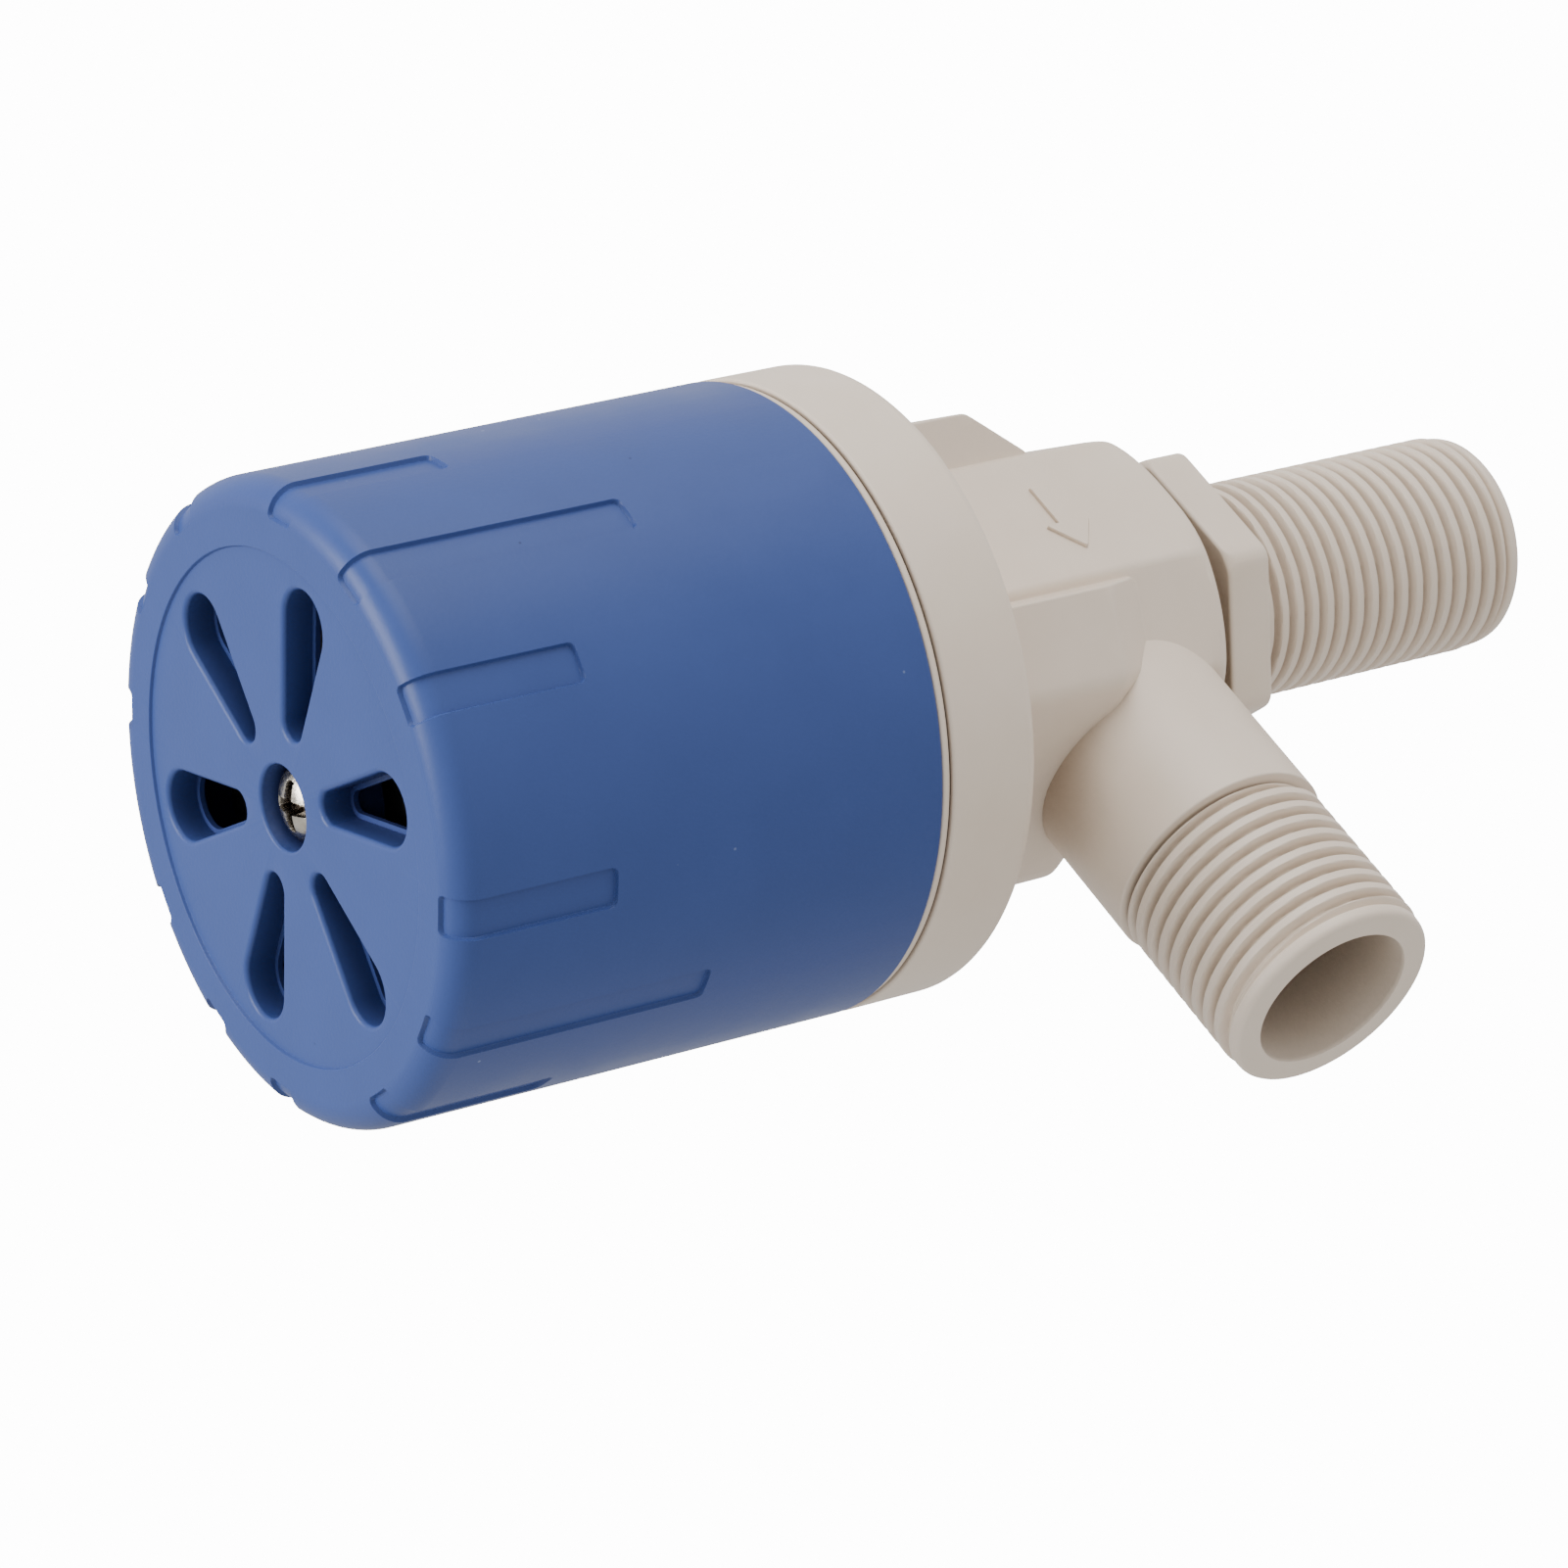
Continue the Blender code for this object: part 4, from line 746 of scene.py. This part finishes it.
def natural_acetal():
    """Uncoloured acetal: a cold, slightly waxy white that lets a little light in, with faint
    cloudy knit marks about 5 mm apart where the melt met behind each window."""
    made, tree, surface_in, place = new_material("natural_acetal")
    clouds = node(tree, 'ShaderNodeTexNoise', {'Vector': place, 'Scale': 200.0, 'Detail': 2.0})
    tint = node(tree, 'ShaderNodeMix', {0: clouds.outputs['Fac'], 6: linear("#D3D2CB"),
                                        7: linear("#E2E1DB")},
                data_type='RGBA')
    gloss = node(tree, 'ShaderNodeMapRange', {'Value': clouds.outputs['Fac'], 'From Min': 0.3,
                                              'From Max': 0.7, 'To Min': 0.28, 'To Max': 0.38})
    bump = node(tree, 'ShaderNodeBump', {'Height': clouds.outputs['Fac'], 'Strength': 0.1,
                                         'Distance': 0.0002})
    shader = node(tree, 'ShaderNodeBsdfPrincipled', {
        'Base Color': tint.outputs[2], 'Roughness': gloss.outputs[0], 'IOR': 1.48,
        'Subsurface Weight': 0.15, 'Subsurface Scale': 0.001, 'Normal': bump.outputs[0]})
    tree.links.new(shader.outputs[0], surface_in)
    return made


acetal = natural_acetal()
inlet_strainer.data.materials.clear()
inlet_strainer.data.materials.append(acetal)
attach(inlet_strainer, "root")
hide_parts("inlet_strainer")

# --------------------------------------------------------------------------------- float
# The float is a hollow ring welded from a cup and a lid, moulded in black polypropylene. It
# slides on the cover's post; its floor is what shows through the shell's slots.

cup_outline = [(4, 7.8), (25.4, 7.8), (25.4, 33.8), (24, 33.8), (24, 9.2), (5.2, 9.2),
               (5.2, 33.8), (4, 33.8)]
float_cup = surface("float_cup_moulding", lathe(
    rounded(cup_outline, [0.4, 2.6, 0.2, 0.2, 1.2, 0.6, 0.2, 0.2], steps=6), 160), ring=True)
smoothed(float_cup)


def black_polypropylene():
    """Polypropylene blackened in the mass, from a plain tool: near black, with a dull sheen
    broken by fine scuffs about 1 mm long that run round the ring."""
    made, tree, surface_in, place = new_material("black_polypropylene")
    scuffs = node(tree, 'ShaderNodeTexNoise', {'Vector': place, 'Scale': 900.0, 'Detail': 4.0,
                                               'Distortion': 1.5})
    tint = node(tree, 'ShaderNodeMix', {0: scuffs.outputs['Fac'], 6: linear("#141415"),
                                        7: linear("#222223")},
                data_type='RGBA')
    gloss = node(tree, 'ShaderNodeMapRange', {'Value': scuffs.outputs['Fac'], 'From Min': 0.3,
                                              'From Max': 0.7, 'To Min': 0.4, 'To Max': 0.6})
    bump = node(tree, 'ShaderNodeBump', {'Height': scuffs.outputs['Fac'], 'Strength': 0.15,
                                         'Distance': 0.0001})
    shader = node(tree, 'ShaderNodeBsdfPrincipled', {
        'Base Color': tint.outputs[2], 'Roughness': gloss.outputs[0], 'IOR': 1.49,
        'Normal': bump.outputs[0]})
    tree.links.new(shader.outputs[0], surface_in)
    return made


black = black_polypropylene()
float_cup.data.materials.append(black)
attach(float_cup, "float")
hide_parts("float_cup")
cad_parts["float_lid"].material_slots[0].material = black

# --------------------------------------------------------------------------- working parts inside
# Sleeve, piston, button and lever are acetal, so that they slide without grease. They keep
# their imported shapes, because the body and the shell enclose them.

for name in ("piston_sleeve", "main_piston", "disc_button", "pilot_lever"):
    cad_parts[name].material_slots[0].material = acetal

# ------------------------------------------------------------------------------------- seals
# O-rings, gasket, piston cup, seat disc and pilot pad are moulded in black nitrile rubber.


def nitrile_rubber():
    """Moulded nitrile: a soft charcoal black with no clear highlight and a powdery bloom in
    patches about 3 mm across."""
    made, tree, surface_in, place = new_material("nitrile_rubber")
    bloom = node(tree, 'ShaderNodeTexNoise', {'Vector': place, 'Scale': 330.0, 'Detail': 5.0,
                                              'Roughness': 0.6})
    tint = node(tree, 'ShaderNodeMix', {0: bloom.outputs['Fac'], 6: linear("#1C1C1D"),
                                        7: linear("#2C2C2D")},
                data_type='RGBA')
    gloss = node(tree, 'ShaderNodeMapRange', {'Value': bloom.outputs['Fac'], 'From Min': 0.3,
                                              'From Max': 0.7, 'To Min': 0.6, 'To Max': 0.8})
    shader = node(tree, 'ShaderNodeBsdfPrincipled', {
        'Base Color': tint.outputs[2], 'Roughness': gloss.outputs[0], 'IOR': 1.52})
    tree.links.new(shader.outputs[0], surface_in)
    return made


rubber = nitrile_rubber()
for name in ("inlet_o_ring", "sleeve_o_ring", "cover_gasket", "seat_disc", "piston_cup_seal",
             "pilot_pad"):
    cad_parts[name].material_slots[0].material = rubber

# ------------------------------------------------------------------------- spring, pin and screws
# The return spring is wound from hard-drawn stainless wire, the lever's pin is cut from the
# same rod, and four screws like the shell's hold the cover up under the ring.


def drawn_steel():
    """Drawn stainless wire: brighter than pickled steel, with die lines about 0.3 mm apart
    along the upright and a roughness that changes from line to line."""
    made, tree, surface_in, place = new_material("drawn_stainless_wire")
    lines = node(tree, 'ShaderNodeTexWave', {'Vector': place, 'Scale': 1600.0, 'Distortion': 2.0,
                                             'Detail': 2.0}, bands_direction='Z')
    tint = node(tree, 'ShaderNodeMix', {0: lines.outputs['Fac'], 6: linear("#C2C0BC"),
                                        7: linear("#DAD9D6")},
                data_type='RGBA')
    gloss = node(tree, 'ShaderNodeMapRange', {'Value': lines.outputs['Fac'], 'To Min': 0.18,
                                              'To Max': 0.3})
    shader = node(tree, 'ShaderNodeBsdfPrincipled', {
        'Base Color': tint.outputs[2], 'Metallic': 1.0, 'Roughness': gloss.outputs[0]})
    tree.links.new(shader.outputs[0], surface_in)
    return made


wire = drawn_steel()
for name in ("return_spring", "lever_pin"):
    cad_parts[name].material_slots[0].material = wire
for number in (1, 2, 3, 4):
    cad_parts[f"cover_screw_{number}"].material_slots[0].material = steel

# ------------------------------------------------------------------------------ studio and camera
# A plain pale floor well below the hanging valve, a white surround that is brightest above the
# picture, and three soft lamps: one above the valve, one that lights the shell's floor from
# below, and a weak one beside the outlet.

floor_mesh = bpy.data.meshes.new("floor")
half, level = 3.0, -0.9
floor_mesh.from_pydata([(-half, -half, level), (half, -half, level), (half, half, level),
                        (-half, half, level)], [], [(0, 1, 2, 3)])
floor = bpy.data.objects.new("floor", floor_mesh)
bpy.context.scene.collection.objects.link(floor)
floor_paint, tree, surface_in, place = new_material("matt_white_floor")
dust = node(tree, 'ShaderNodeTexNoise', {'Vector': place, 'Scale': 4.0})
gloss = node(tree, 'ShaderNodeMapRange', {'Value': dust.outputs['Fac'], 'To Min': 0.85,
                                          'To Max': 0.95})
shader = node(tree, 'ShaderNodeBsdfPrincipled', {'Base Color': linear("#ECECEA"),
                                                 'Roughness': gloss.outputs[0]})
tree.links.new(shader.outputs[0], surface_in)
floor_mesh.materials.append(floor_paint)

right = Vector((-0.24306802, -0.51159285, 0.82413026))
up = Vector((-0.72444501, 0.66073386, 0.19649479))
forward = Vector((0.64505609, 0.54927546, 0.53122416))
world = bpy.data.worlds.new("white_surround")
world.use_nodes = True
world.node_tree.nodes.clear()
bpy.context.scene.world = world
tree = world.node_tree
way = node(tree, 'ShaderNodeTexCoord').outputs['Generated']
upward = node(tree, 'ShaderNodeVectorMath', {0: way, 1: tuple(up)}, operation='DOT_PRODUCT')
strength = node(tree, 'ShaderNodeMapRange', {'Value': upward.outputs['Value'], 'From Min': -0.6,
                                             'From Max': 1.0, 'To Min': 0.72, 'To Max': 1.12})
lighting = node(tree, 'ShaderNodeBackground', {'Color': (1, 1, 1, 1),
                                               'Strength': strength.outputs[0]})
backdrop = node(tree, 'ShaderNodeBackground', {'Color': (1, 1, 1, 1), 'Strength': 14.0})
seen = node(tree, 'ShaderNodeLightPath').outputs['Is Camera Ray']
chosen = node(tree, 'ShaderNodeMixShader', {0: seen, 1: lighting.outputs[0],
                                            2: backdrop.outputs[0]})
node(tree, 'ShaderNodeOutputWorld', {'Surface': chosen.outputs[0]})

camera_data = bpy.data.cameras.new("camera")
camera_data.lens = 140.55
camera_data.sensor_width = 36
camera = bpy.data.objects.new("camera", camera_data)
bpy.context.scene.collection.objects.link(camera)
camera.matrix_world = Matrix.Translation((-0.35265774, -0.31079035, -0.34332308)) @ Matrix(
    (right, up, -forward)).transposed().to_4x4()
bpy.context.scene.camera = camera


def soft_lamp(name, place, target, size, energy):
    """A square area lamp at a place, turned to face a target."""
    light = bpy.data.lights.new(name, 'AREA')
    light.size = size
    light.energy = energy
    lamp = bpy.data.objects.new(name, light)
    bpy.context.scene.collection.objects.link(lamp)
    lamp.location = place
    lamp.rotation_mode = 'QUATERNION'
    lamp.rotation_quaternion = (target - place).to_track_quat('-Z', 'Y')
    lamp.visible_camera = False


middle, shell_floor = Vector((0, 0, -0.03)), Vector((0, 0, FOOT))
soft_lamp("key", middle + up * 0.7 - forward * 0.25, middle, 0.6, 3.9)
soft_lamp("floor_light", shell_floor + Vector((-0.05, 0.2, -0.45)), shell_floor, 0.3, 3.2)
soft_lamp("low_fill", middle + Vector((0.5, -0.5, -0.05)), middle, 0.5, 0.5)
